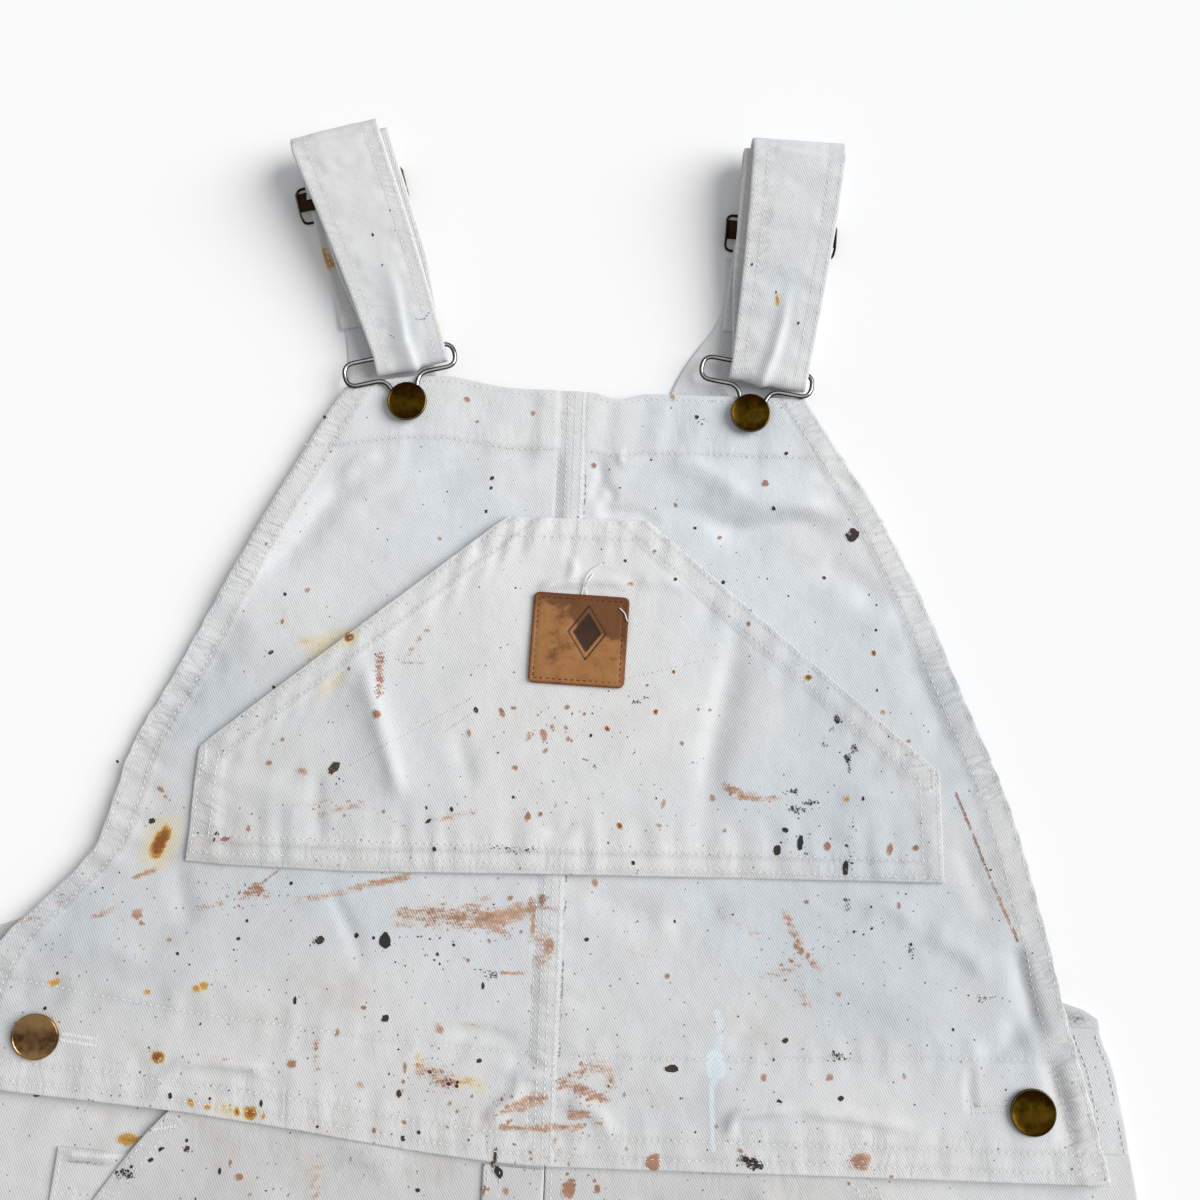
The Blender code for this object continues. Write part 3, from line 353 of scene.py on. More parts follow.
BIB_CREASES = crease_table(
    (7.5, -1.1, 1.6, -100, 318, -116.5, 297, -131, 276, -155, 249),
    (9, -0.9, 1, -148, 258, -168, 221, -189, 188, -204, 158),
    (5, -0.7, 0.6, -115, 291, -94, 298, -75.5, 309, -40, 318), (4, 0.7, 1, -90, 322, -104, 316, -113, 301),
    (5, 0.9, 0.7, 38, 323, 57, 322, 75, 312, 88, 301),
    (4.2, -1.7, 0.5, 63, 295, 85, 291.5, 108, 296, 134, 293), (5, 1, 1, 78, 303, 100, 303.5, 128, 304),
    (1.8, 0.6, 1, 22, 328, 25, 321.5, 38, 325),
    (4, -0.6, 1.4, -10.8, 328.3, -31.2, 324.4, -55.5, 318.7, -81.8, 311.2),
    (5, 0.5, 1, -12.1, 313.5, -36.2, 308.8, -64, 298.2),
    (3, -0.6, 1, 10.4, 325.9, 14.2, 316, 12.5, 308.7, 10.5, 299.2),
    (4.5, -0.6, 1, 27.5, 300.8, 46, 299.5, 62.7, 297.2, 81.5, 284.8),
    (1.6, -0.6, 1, -208, 184.5, -200, 181, -191.4, 178.6), (2.8, -0.9, 1, 11, 296.5, 27, 297.5, 45, 294),
    (2.4, -0.6, 1, 13, 312, 20, 305, 12, 299), (6, -0.6, 1, 118, 276, 136, 268, 153, 250),
    (3.5, -0.5, 1, 140, 310, 128, 318, 112, 318), (3.8, -0.6, 1.8, -107, 124, -99, 107, -91.5, 94, -85, 79),
    (5, -0.7, 1, -176, 128, -171, 112, -164, 94), (3, 0.9, 2, -171.5, 33, -161, 38.5, -136, 38, -124, 34),
    (5.5, 0.6, 1, -230, 84, -205, 88, -180, 82), (4, 0.5, 1, -222, 64, -202, 69, -182, 66),
    (2.4, 1.3, 1.7, 82, 12, 83, 23.5, 96, 26.8, 114, 27.2),
    (2.6, 1, 1.7, 108, 27.2, 126, 26.2, 145, 23.8, 168, 20.5),
    (2.6, 0.9, 1, -25, 16, -23, 22.5, -15, 29.2, -11.5, 37), (2.2, 0.7, 1, -15, 33, -11.5, 38.5, 2.5, 39.5),
    (2.4, 0.8, 0.6, 8, 31, 16.2, 27.5, 23.2, 23.2, 30, 11), (3.2, -0.8, 1, -45.5, 54.5, -28, 55.5, -12, 51),
    (2, -0.6, 1, -20, 43, -10, 44.5, 0, 42.5), (7, -0.7, 1, 12, 118, 34, 111, 52, 101),
    (6.5, -0.8, 1, 50, 101.5, 62, 108.5, 84, 116.5),
    (3.4, -1.4, 0.6, 210.5, 104, 212.5, 92, 217, 76, 222, 57),
    (3.2, -1.2, 0.6, 222.5, 58, 227.5, 42, 232, 25, 235, 8),
    (4.8, -1, 1, 190, 54.5, 202, 56.5, 209, 64, 206, 76), (1.8, -0.6, 1, 188.5, 52, 188, 36, 190.5, 29),
    (7, 0.8, 1.8, 168, 105.5, 185, 99, 199.5, 85), (6, 0.6, 1.8, 139, 112, 153, 116.5, 169, 106),
    (5, -0.6, 1, 185, 150, 192, 130, 202, 108), (7, -0.6, 1, 160, 238, 172, 212, 183, 185),
)
POCKET_CREASES = crease_table(
    (2.8, 1.1, 0.7, -98.5, 230, -87, 201, -77, 173, -72, 156),
    (3.5, -0.6, 1, -113, 176, -111, 152, -108, 132),
    (8, -1.1, 1.5, 83, 248, 76.5, 216, 70.5, 187, 65.5, 140),
    (2.6, 1, 1.8, -15, 256, -5, 260.5, 17, 262.5, 34, 261), (3.4, 0.6, 1, 30, 262, 45, 264, 62, 258),
    (2.2, 0.5, 1, 0, 274, 3, 268, -1, 262), (2.4, -0.7, 1, -8, 146, 3, 146.3, 7.8, 153),
    (4.5, -0.5, 1, -145, 172, -130, 166, -115, 170), (4, -0.5, 1, -50, 190, -44, 176, -42, 160),
    (3.5, 0.5, 1, 128, 164, 142, 167, 160, 165), (3, -0.6, 1, -48, 280, -38, 274, -30, 280),
)
LEG_CREASES = crease_table(
    (2.6, 1.3, 0.7, -96, 8, -84, 5, -72, -1, -64, -11), (2, 0.9, 1, -86, 5.8, -72, 4.2, -56, 3.2),
    (6, 0.8, 1, -150, -10, -130, -16, -115, -30), (5, 0.8, 1, 90, -6, 100, -16, 100, -35),
    (6, -0.8, 1, 40, -8, 50, -25, 48, -50), (7, 1.6, 1, -200, -260, -150, -245, -90, -260),
    (7, 1.8, 1, 90, -255, 150, -240, 205, -265), (8, 2, 1, -230, -545, -170, -570, -100, -550),
    (7, 1.8, 1, -120, -600, -180, -625, -250, -610), (8, 2, 1, 90, -560, 150, -585, 230, -560),
    (7, 1.7, 1, 100, -630, 170, -610, 245, -635), (7, 1.5, 1, -100, -890, -150, -920, -210, -905),
    (7, 1.5, 1, 120, -910, 170, -890, 230, -915),
)
FACING_CREASES = crease_table(
    (5, 1.2, 1, -235, 6, -215, 11, -195, 6, -180, -2), (4.5, -0.8, 1, -238, -15, -225, -4, -205, 1),
    (6, 1, 1, 180, -15, 195, -30, 230, -40),
)
# The seam that holds the top of the waist facing, behind the bib.
Line = namedtuple("Line", "x y")
FACING_LINE = table(Line, 2,
    (-260, 74.5), (-226, 70), (-158, 60), (-67, 51), (5, 47), (77, 48), (184, 52), (250, 53),
)


def facing_line(x):
    return np.interp(x, *zip(*FACING_LINE))


def path_points(path, count=28):
    """Points along a smooth curve through a few others."""
    stops = np.linspace(0, 1, len(path))
    t = np.linspace(0, 1, count)
    points = []
    for k in (0, 1):
        values = np.array([point[k] for point in path])
        tangent = np.gradient(values, stops)
        i = np.clip(np.searchsorted(stops, t) - 1, 0, len(path) - 2)
        span = stops[i + 1] - stops[i]
        u = (t - stops[i]) / span
        start = values[i] * (1 + 2 * u) * (1 - u) ** 2 + tangent[i] * span * u * (1 - u) ** 2
        end = values[i + 1] * u * u * (3 - 2 * u) + tangent[i + 1] * span * u * u * (u - 1)
        points.append(start + end)
    return np.stack(points, axis=1)


def near_path(points, x, y, reach):
    """Signed distance from a path, positive on its right, and the share along it. Far points are left out."""
    low, high = points.min(0) - reach, points.max(0) + reach
    close = (x > low[0]) & (x < high[0]) & (y > low[1]) & (y < high[1])
    px, py = x[close], y[close]
    best = np.full(px.shape, 9.0)
    signed = np.zeros(px.shape)
    share = np.zeros(px.shape)
    count = len(points) - 1
    for i in range(count):
        (ax, ay), (bx, by) = points[i], points[i + 1]
        run_x, run_y = bx - ax, by - ay
        length = math.hypot(run_x, run_y)
        t = np.clip(((px - ax) * run_x + (py - ay) * run_y) / length**2, 0, 1)
        off_x, off_y = px - ax - run_x * t, py - ay - run_y * t
        off = np.hypot(off_x, off_y)
        nearer = off < best
        best[nearer] = off[nearer]
        side = np.sign(off_x * run_y - off_y * run_x)
        signed[nearer] = (off * side)[nearer]
        share[nearer] = ((i + t) / count)[nearer]
    return close, signed, share


CREASE_DEPTH = 2.4  # times a table's heights
PUCKER_DEPTH = 1.7


def creases(rows, x, y):
    """Height of all a table's creases at x, y."""
    total = np.zeros(x.shape)
    for crease in rows:
        points = path_points(crease.path)
        close, off, share = near_path(points, x, y, crease.width * 3)
        width = np.where(off > 0, crease.width / crease.sharp, crease.width)
        taper = smooth(share * 3.5) * smooth((1 - share) * 3.5)
        total[close] += CREASE_DEPTH * crease.height * taper * bell(off, width)
    return total


def ripples(s, pitch, seed):
    """Uneven waves along a line, between -1 and 1."""
    draw = np.random.default_rng(seed)
    knots = np.cumsum(pitch * draw.uniform(0.30, 0.75, int(3.2 / pitch))) - 1.4
    values = draw.uniform(0.25, 1.0, len(knots)) * np.where(np.arange(len(knots)) % 2, 1, -1)
    i = np.clip(np.searchsorted(knots, s) - 1, 0, len(knots) - 2)
    t = smooth((s - knots[i]) / (knots[i + 1] - knots[i]))
    return values[i] + (values[i + 1] - values[i]) * t


def unevenness(x, y, cell, seed):
    """Smooth random heights over the surface, between -1 and 1."""
    values = np.random.default_rng(seed).uniform(-1, 1, (97, 97))
    u, v = x / cell + 500, y / cell + 500
    i, j = np.floor(u).astype(int), np.floor(v).astype(int)
    a, b = smooth(u - i), smooth(v - j)
    pick = lambda di, dj: values[(i + di) % 97, (j + dj) % 97]
    near = pick(0, 0) + (pick(1, 0) - pick(0, 0)) * a
    far = pick(0, 1) + (pick(1, 1) - pick(0, 1)) * a
    return near + (far - near) * b


def worn(x, y, seed):
    """The small general unevenness of washed cloth."""
    broad = unevenness(x, y, 0.034, seed) * 0.00050
    slanted = unevenness(x * 0.9 + y * 0.5, (y - x * 0.4) * 2.1, 0.020, seed + 1) * 0.00036
    return broad + slanted + unevenness(x, y, 0.0095, seed + 2) * 0.00013


def puckers(along_hem, from_edge, width, height, pitch, seed, slant=0.35):
    """Small ridges across a sewn hem, drawn in by its thread."""
    window = smooth(from_edge / (width * 0.18)) * (1 - smooth((from_edge - width * 0.85) / (width * 0.75)))
    return PUCKER_DEPTH * height * window * ripples(along_hem + slant * from_edge, pitch, seed)


def band(from_edge, width, step=0.0016):
    """1 on a turned hem, 0 past it."""
    return 1 - smooth((from_edge - width) / step)


# ---- Surfaces ---------------------------------------------------------------------------------------------
# Each gives the top of a layer at true x, y, which follow the waist seam and the top edge.
def unfollow(x, y):
    """The row of the bib that ends at a true y, before it followed the waist seam and the top edge."""
    row = np.array(y, float)
    for _ in range(6):
        row = row + (y - follow_top(x, follow_waist(x, row)))
    return row


def bib_relief(x, y, row):
    """What sewing and wear add to the top of the bib."""
    edge = np.minimum(x - along(BIB_SIDES, "left", row), along(BIB_SIDES, "right", row) - x)
    top = BIB_HEIGHT - row
    facing = facing_line(x) - y
    total = creases(BIB_CREASES, x, y) + worn(x, y, 11)
    total = total + 0.00045 * np.maximum(band(edge, SIDE_HEM), band(top, TOP_HEM)) + 0.0003 * band(row, 0.014)
    total = total + 0.00025 * smooth(facing / 0.0018)
    total = total + puckers(y, edge, 0.0165, 0.00048, 0.0145, 21)
    total = total + puckers(y, edge, 0.012, 0.00022, 0.0075, 22)
    total = total + puckers(x, top, 0.034, 0.00026, 0.020, 23, 0.1)
    total = total + puckers(x, row, 0.019, 0.00026, 0.014, 24, 0.1)
    total = total + puckers(x, np.abs(facing) + 0.002, 0.009, 0.00018, 0.012, 25, 0.2)
    beside_seam = np.abs(x - seam_x(y)) - CENTRE_SEAM_WIDTH / 2
    total = total + puckers(y, beside_seam + 0.002, 0.009, 0.00026, 0.013, 26) * (beside_seam > -0.004)
    return total


def bib_face(x, y):
    row = unfollow(x, y)
    return bib_top(x, row) + bib_relief(x, y, row)


SEAM_RISE = 0.0009  # of its right edge over the bib; its left edge is worn flush
SEAM_ROWS = (-0.0050, -0.0016, 0.0020, 0.0056)


def seam_x(y):
    """The middle of the centre seam, which wanders to one side below the pocket."""
    return CENTRE_SEAM_X + np.interp(y, (0.13, 0.30), (-0.0038, -0.0017))


def seam_face(x, y):
    row = unfollow(x, y)
    share = (x - seam_x(y)) / (CENTRE_SEAM_WIDTH / 2)
    off = np.clip(np.abs(share), 0, 1)
    height = SEAM_RISE + 0.0002 * (1 - off**4) + 0.00034 * ripples(y + 0.15 * x, 0.0085, 31)
    height = bib_top(x, row) + height + 0.6 * creases(BIB_CREASES, x, y)
    eased = smooth((share + 1) / 1.1)
    return height * eased + (bib_face(x, y) - 0.00025) * (1 - eased)


# How far the pocket's bottom edge hangs below its solid.
SAG = table(Line, 2, (-175, 1.4), (-150, 3), (-95, 4), (0, 2), (100, 0.8), (170, 0))


def sag(x):
    return np.interp(x, *zip(*SAG))


def pocket_edges(x, y):
    """Distance in from the pocket's sides, bottom, top, and its two slanted mouths."""
    low, shoulder, high = POCKET_ROWS
    y = y + sag(x) * (1 - smooth((y - low.y) / 0.030))
    x = x - POCKET_X
    sides = np.interp(y, [low.y, shoulder.y], [low.half, shoulder.half]) - np.abs(x)
    run, rise = shoulder.half - high.half, high.y - shoulder.y
    slope = ((shoulder.half - np.abs(x)) * rise - (y - shoulder.y) * run) / math.hypot(run, rise)
    return sides, y - low.y, high.y - y, slope


def on_pocket(x, y):
    return np.minimum.reduce(pocket_edges(x, y)) > 0


def mouth_lift(x, y):
    """How far the slanted mouths stand off the bib."""
    slope = pocket_edges(x, y)[3]
    low, high = POCKET_ROWS[1].y, POCKET_ROWS[2].y
    share = np.clip((y - low) / (high - low), 0, 1)
    gape = np.where(x < POCKET_X, 0.0021, 0.0004)
    return gape * np.sin(math.pi * share) ** 0.7 * bell(np.clip(slope, 0, 1), 0.017)


def pocket_relief(x, y):
    sides, bottom, top, slope = pocket_edges(x, y)
    total = creases(POCKET_CREASES, x, y) + 0.5 * worn(x, y, 11) + 0.8 * worn(x, y, 41) + mouth_lift(x, y)
    straight = np.minimum(np.minimum(sides, bottom), top)
    hems = np.maximum(band(straight, 0.012), band(slope, 0.0115))
    total = total + 0.00042 * hems - 0.0006 * (1 - smooth(straight / 0.007))
    total = total + puckers(y, sides, 0.016, 0.00034, 0.013, 42)
    total = total + puckers(x, bottom, 0.020, 0.00034, 0.0135, 43, 0.1)
    total = total + puckers(x, top, 0.016, 0.00026, 0.011, 44, 0.1)
    return total + puckers(x, slope, 0.015, 0.00026, 0.0115, 45)


def pocket_face(x, y):
    return pocket_top(x, y) + pocket_relief(x, y)


def leg_face(side, x, y, row):
    """The top of a front leg, at true x, y and the row it was given."""
    name = side_name(side)
    total = leg_floor(side, x, row) + CLOTH + creases(LEG_CREASES, x, y) + worn(x, y, 51)
    outer = np.abs(along(SILHOUETTE, name, row) - x)
    inner = np.abs(x - np.where(row < CROTCH_Y, along(INSEAMS, name, row), 0))
    sewn = row < SLANTS[side].side_y
    total = total + puckers(row, outer, 0.014, 0.0004, 0.018, 52) * sewn
    total = total + puckers(row, inner, 0.012, 0.0003, 0.018, 53)
    mouth = np.abs(x - slant_x(side, row))
    total = total + (0.0003 * band(mouth, 0.012) + puckers(row, mouth, 0.013, 0.0003, 0.012, 54)) * ~sewn
    foot = row - HEM_Y
    return total + 0.0004 * band(foot, LEG_HEM) + puckers(x, foot, LEG_HEM, 0.0004, 0.016, 55)


def facing_face(x, y):
    return FACING_FLOOR + CLOTH + np.clip(creases(FACING_CREASES, x, y) + worn(x, y, 63), -0.0001, 0.0009)


# ---- Meshes -----------------------------------------------------------------------------------------------
def build(name, points, faces, material, node=None):
    """A smooth piece of the garment, standing for a node of the part where it has one."""
    mesh = bpy.data.meshes.new(name)
    mesh.from_pydata(np.asarray(points).tolist(), [], faces)
    mesh.materials.append(material)
    mesh.shade_smooth()
    piece = bpy.data.objects.new(name, mesh)
    bpy.context.scene.collection.objects.link(piece)
    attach(piece, "root")
    if node:
        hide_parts(node)
    return piece


def add_layer(piece, name, values):
    """What a material reads at each point: vectors of three values or colours of four."""
    kind, field = ("FLOAT_VECTOR", "vector") if values.shape[-1] == 3 else ("FLOAT_COLOR", "color")
    layer = piece.data.attributes.new(name, kind, "POINT")
    layer.data.foreach_set(field, values.astype(np.float32).ravel())


def spaced(length, cell):
    """Distances from one edge to the other, about a cell apart and closer together near both edges."""
    near = [0.0, 0.00018, 0.0005, 0.0010, 0.0018]
    count = max(2, round((length - 2 * near[-1]) / cell))
    middle = np.linspace(near[-1], length - near[-1], count + 1)
    return np.array(near[:-1] + list(middle) + [length - d for d in reversed(near[:-1])])


def rounding(distance, radius):
    """0 at a piece's edge to 1 inside it, along a quarter of a circle."""
    t = 1 - np.clip(distance / radius, 0, 1)
    return np.sqrt(np.clip(1 - t * t, 0, 1))


def grid_index(rows, columns):
    """The numbers of a grid's points, and of those round its rim in order."""
    index = np.arange(rows * columns).reshape(rows, columns)
    rim = np.concatenate([index[0, :-1], index[:-1, -1], index[-1, :0:-1], index[:0:-1, 0]])
    return index, rim


def shell(name, node, top, bottom, cloth, material, slot, **layers):
    """A closed sheet of cloth from two grids of points, with where each point lies on the cloth."""
    rows, columns = top.shape[:2]
    half = rows * columns
    points = np.concatenate([top.reshape(-1, 3), bottom.reshape(-1, 3)])
    index, rim = grid_index(rows, columns)
    a, b = index[:-1, :-1].ravel(), index[:-1, 1:].ravel()
    d, e = index[1:, :-1].ravel(), index[1:, 1:].ravel()
    upper = np.stack([a, b, e, d], 1)
    after = np.roll(rim, -1)
    wall = np.stack([rim, half + rim, half + after, after], 1)
    faces = np.concatenate([upper, upper[:, ::-1] + half, wall])
    middle = index[rows // 2, columns // 2]
    p, q, r = points[middle], points[middle + 1], points[middle + columns]
    if np.dot(np.cross(q - p, r - p), points[middle] - points[half + middle]) < 0:
        faces = faces[:, ::-1]
    piece = build(name, points, faces.tolist(), material, node)
    for layer, values in {"cloth": cloth, **layers}.items():
        add_layer(piece, layer, np.concatenate([values.reshape(half, -1)] * 2))
    return piece


def stacked(x, y, z):
    return np.stack([x, y, np.broadcast_to(z, x.shape)], axis=-1)


def placed(x, y, z):
    """Points in the frame, from x and y taken from the waist seam."""
    return stacked(x, y + WAIST_Y, z)


def panel_grid(near, far, low, high, cell, width):
    """x, row and distance from the nearest edge of a panel whose rows run between two functions of y."""
    heights = low + spaced(high - low, cell)
    shares = spaced(width, cell) / width
    start, end = near(heights)[:, None], far(heights)[:, None]
    x = start + (end - start) * shares[None, :]
    y = np.repeat(heights[:, None], len(shares), axis=1)
    across = np.minimum(shares, 1 - shares)[None, :] * np.abs(end - start)
    upright = np.minimum(heights - low, high - heights)[:, None]
    return x, y, np.minimum(across, upright)


POCKET_LOT, STRAP_LOT, LEG_LOT = 0.14, 0.10, 0.30  # warmer dye lots


def soil(off, width=0.0011):
    """Soil and shadow gathered along a row of stitches."""
    return bell(off, width)


def shades(line, across=0.0, upright=0.0):
    """The layer of soil and painted shade: soiled and painted shadow lines, then hems drawn in across the
    garment and up it.
    """
    return np.stack(np.broadcast_arrays(line, across, upright), axis=-1)


Flat = namedtuple("Flat", "width length area held rests", defaults=(None, "laid", ()))


def rounded_faces(x, y, edge, over, under, radius):
    """The middle height, then the upper and lower faces, which round off to meet near the edge."""
    middle, half = (over + under) / 2, (over - under) / 2
    round_off = rounding(edge, radius)
    return middle, placed(x, y, middle + half * round_off), placed(x, y, middle - half * round_off)


def dress(node, x, y, edge, over, under, sewn=None, lot=0.0):
    """A flat-laid piece of cloth over its solid, between two heights, with rounded edges."""
    _, top, bottom = rounded_faces(x, y, edge, over, under, 0.0008)
    layers = {"stain": stain_field(x, y)}
    if sewn is not None:
        layers["sewn"] = sewn
    declare(node, top, bottom, stacked(x, y, lot), layers)


def declare(node, top, bottom, where, layers):
    piece = shell(f"cloth_{node}", node, top, bottom, where, COTTON, "cotton_drill", **layers)


# ---- Materials --------------------------------------------------------------------------------------------
def srgb(r, g, b):
    """Linear colour of a 0-255 screen colour."""
    values = []
    for v in (r, g, b):
        v = v / 255
        values.append(v / 12.92 if v <= 0.04045 else ((v + 0.055) / 1.055) ** 2.4)
    return (*values, 1.0)


class Shader:
    """A material whose nodes are added one call at a time."""

    def __init__(self, name, **constants):
        self.material = bpy.data.materials.new(name)
        self.material.use_nodes = True
        self.nodes = self.material.node_tree.nodes
        self.links = self.material.node_tree.links
        self.surface = self.nodes["Principled BSDF"]
        for socket, value in constants.items():
            self.surface.inputs[socket.replace("_", " ")].default_value = value

    def put(self, node, socket, value):
        if isinstance(value, bpy.types.NodeSocket):
            self.links.new(value, node.inputs[socket])
        else:
            node.inputs[socket].default_value = value

    def add(self, kind, inputs, output=0, **settings):
        node = self.nodes.new("ShaderNode" + kind)
        for key, value in settings.items():
            setattr(node, key, value)
        for socket, value in inputs.items():
            self.put(node, socket, value)
        return node.outputs[output]

    def math(self, operation, *values):
        return self.add("Math", dict(enumerate(values)), operation=operation)

    def mix(self, share, a, b, how="MIX"):
        return self.add("Mix", {0: share, 6: a, 7: b}, 2, data_type="RGBA", blend_type=how)

    def step(self, value, low, high, start=0.0, end=1.0):
        inputs = {0: value, 1: low, 2: high, 3: start, 4: end}
        return self.add("MapRange", inputs, interpolation_type="SMOOTHSTEP")

    def noise(self, where, scale, detail=2.0, roughness=0.5, output=0):
        inputs = {"Vector": where, "Scale": scale, "Detail": detail, "Roughness": roughness}
        return self.add("TexNoise", inputs, output)

    def scaled(self, where, scale):
        return self.add("VectorMath", {0: where, 1: scale}, operation="MULTIPLY")

    def finish(self, colour, height=None, distance=0.001, strength=1.0):
        self.put(self.surface, "Base Color", colour)
        if height is not None:
            bump = self.add("Bump", {"Height": height, "Distance": distance, "Strength": strength})
            self.put(self.surface, "Normal", bump)
        return self.material


TWILL_PITCH = 0.00105
TWILL_LEAN = (0.88, 0.47)


def drawn_in(s, x, y, across, upright):
    """Round ridges with sharp creases between them, as thread draws in a hem, leaning from the middle."""
    leaning = s.math("MULTIPLY_ADD", s.math("ABSOLUTE", x), -0.3, y)
    at = s.add("CombineXYZ", {0: s.math("MULTIPLY", x, across), 1: s.math("MULTIPLY", leaning, upright)})
    wave = s.math("MULTIPLY_ADD", s.noise(at, 1.0, 1.5, 0.6), 2.0, -1.0)
    return s.math("SUBTRACT", s.math("MINIMUM", s.math("MULTIPLY", s.math("ABSOLUTE", wave), 3.2), 1.0), 0.62)


def drill():
    """White cotton drill: a slanted twill, soft unevenness, grime and painted shade low down, painted shade
    at the sides and in its hems' creases, and what was spilt on it.
    """
    s = Shader("drill", Roughness=0.9, Sheen_Weight=0.02, Specular_IOR_Level=0.03)
    where = s.add("Attribute", {}, 1, attribute_name="cloth")
    x, y, z = (s.add("SeparateXYZ", {0: where}, k) for k in (0, 1, 2))
    sway = s.noise(where, 90, 1.0)
    wave = s.math("ADD", s.math("MULTIPLY", x, TWILL_LEAN[0]), s.math("MULTIPLY", y, TWILL_LEAN[1]))
    phase = s.math("MULTIPLY_ADD", wave, 2 * math.pi / TWILL_PITCH, s.math("MULTIPLY", sway, 5.0))
    twill = s.math("SINE", phase)
    yarn = s.noise(where, 1100, 2.0, 0.7)
    slub = s.noise(s.scaled(where, (500, 120, 300)), 1.0, 2.0, 0.6)
    mottle = s.noise(where, 75, 4.0, 0.65)
    broad = s.noise(where, 11, 2.0)

    low = s.math("MULTIPLY", s.step(y, 0.30, -0.03), s.step(x, 0.06, 0.20, 1.0, 0.45))
    value = s.math("MULTIPLY_ADD", twill, 0.007, 1.0)
    for source, share in ((yarn, 0.085), (slub, 0.05), (mottle, 0.07), (broad, 0.07)):
        value = s.math("ADD", value, s.math("MULTIPLY_ADD", source, share, -share / 2))
    # Painted shade and dirt: darker towards the bottom, less so on the right, where the light falls off; the
    # same mask also places the real dust and specks.
    value = s.math("MULTIPLY_ADD", low, -0.10, value)
    sewn = s.add("Attribute", {}, 1, attribute_name="sewn")
    line, across, upright = (s.add("SeparateXYZ", {0: sewn}, k) for k in (0, 1, 2))
    line = s.math("MULTIPLY", line, s.step(s.noise(where, 650, 2.0), 0.34, 0.62, 0.25, 1.0))
    hem = s.math("MAXIMUM", across, upright)
    folded = s.math("MULTIPLY", drawn_in(s, x, y, 60, 190), across)
    folded = s.math("MULTIPLY_ADD", drawn_in(s, x, y, 190, 60), upright, folded)
    folded = s.math("MULTIPLY", folded, s.step(s.noise(where, 36, 2.0), 0.36, 0.64, 0.15, 1.0))
    # Painted shade and soil: the line channel darkens along rows of stitches, under the centre seam's lip,
    # below the small pocket's roll and in the back's right corner, and lightens where it is below zero, as a
    # painted highlight on the roll.
    value = s.math("MULTIPLY_ADD", line, -0.30, value)
    value = s.math("MULTIPLY_ADD", hem, 0.012, value)
    # Painted shade and highlight: the hems' drawn-in creases darker and their ridges lighter, more so on the
    # right, where the light runs along them.
    value = s.math("MULTIPLY_ADD", folded, s.step(x, 0.04, 0.14, 0.055, 0.13), value)
    value = s.math("MULTIPLY_ADD", s.step(z, 0.2, 0.3), -0.085, value)
    # Painted shade: the left side a little darker, away from the light.
    value = s.math("MULTIPLY_ADD", s.step(x, 0.0, -0.20), -0.025, value)
    # Painted shade: the outer parts of the bib darker at mid-height, where the light falls off.
    beside = s.math("MULTIPLY", s.step(s.math("ABSOLUTE", x), 0.06, 0.13), s.step(y, 0.27, 0.21))
    beside = s.math("MULTIPLY", beside, s.step(y, 0.03, 0.08))
    value = s.math("MULTIPLY_ADD", beside, -0.07, value)
    tint = s.math("MULTIPLY_ADD", s.step(y, 0.12, 0.0), 0.25, s.math("ADD", broad, z))
    # Painted cool light: the right side tinted bluer; hems are tinted more neutral.
    tint = s.math("MULTIPLY_ADD", s.step(x, 0.02, 0.10), -0.12, s.math("MULTIPLY_ADD", hem, 0.14, tint))
    colour = s.mix(s.step(tint, 0.36, 0.72), srgb(219, 224, 228), srgb(226, 226, 225))
    colour = s.add("HueSaturation", {"Value": value, "Color": colour})
    dust = s.math("MULTIPLY", s.step(s.noise(where, 24, 3.0, 0.6), 0.52, 0.75), s.math("MULTIPLY", low, 0.42))
    colour = s.mix(dust, colour, srgb(190, 180, 166))

    cells = s.add("TexVoronoi", {"Vector": where, "Scale": 300.0}, 0)
    chance = s.add("SeparateColor", {0: s.add("TexVoronoi", {"Vector": where, "Scale": 300.0}, 1)}, 0)
    patchy = s.math("MULTIPLY", low, s.step(s.noise(where, 14, 2.0), 0.30, 0.65))
    share = s.math("MULTIPLY_ADD", patchy, 0.34, 0.02)
    speck = s.math("MULTIPLY", s.math("LESS_THAN", chance, share), s.step(cells, 0.20, 0.10))
    colour = s.mix(s.math("MULTIPLY", speck, 0.62), colour, srgb(92, 86, 82))

    spilt = s.add("Attribute", {}, 0, attribute_name="stain")
    pale = s.add("Attribute", {}, 3, attribute_name="stain")
    rust, ochre, dark = (s.add("SeparateColor", {0: spilt}, k) for k in (0, 1, 2))
    brushed = s.noise(s.scaled(where, (150, 420, 300)), 1.0, 3.0, 0.75)
    grain = s.noise(where, 620, 3.0, 0.8)
    ragged = s.math("ADD", s.math("MULTIPLY", brushed, 0.62), s.math("MULTIPLY", grain, 0.38))
    ragged = s.math("MULTIPLY_ADD", twill, -0.16, s.math("MULTIPLY_ADD", ragged, 3.3, -1.65))

    soaked = s.step(ochre, 0.04, 0.34, 0.0, 0.46)
    colour = s.mix(soaked, colour, srgb(224, 208, 160))
    mottled = s.math("MULTIPLY_ADD", ragged, 0.42, ochre)
    core = s.step(mottled, 0.40, 0.72, 0.0, 0.93)
    colour = s.mix(core, colour, s.mix(s.step(mottled, 0.72, 1.18), srgb(200, 152, 70), srgb(134, 70, 2)))

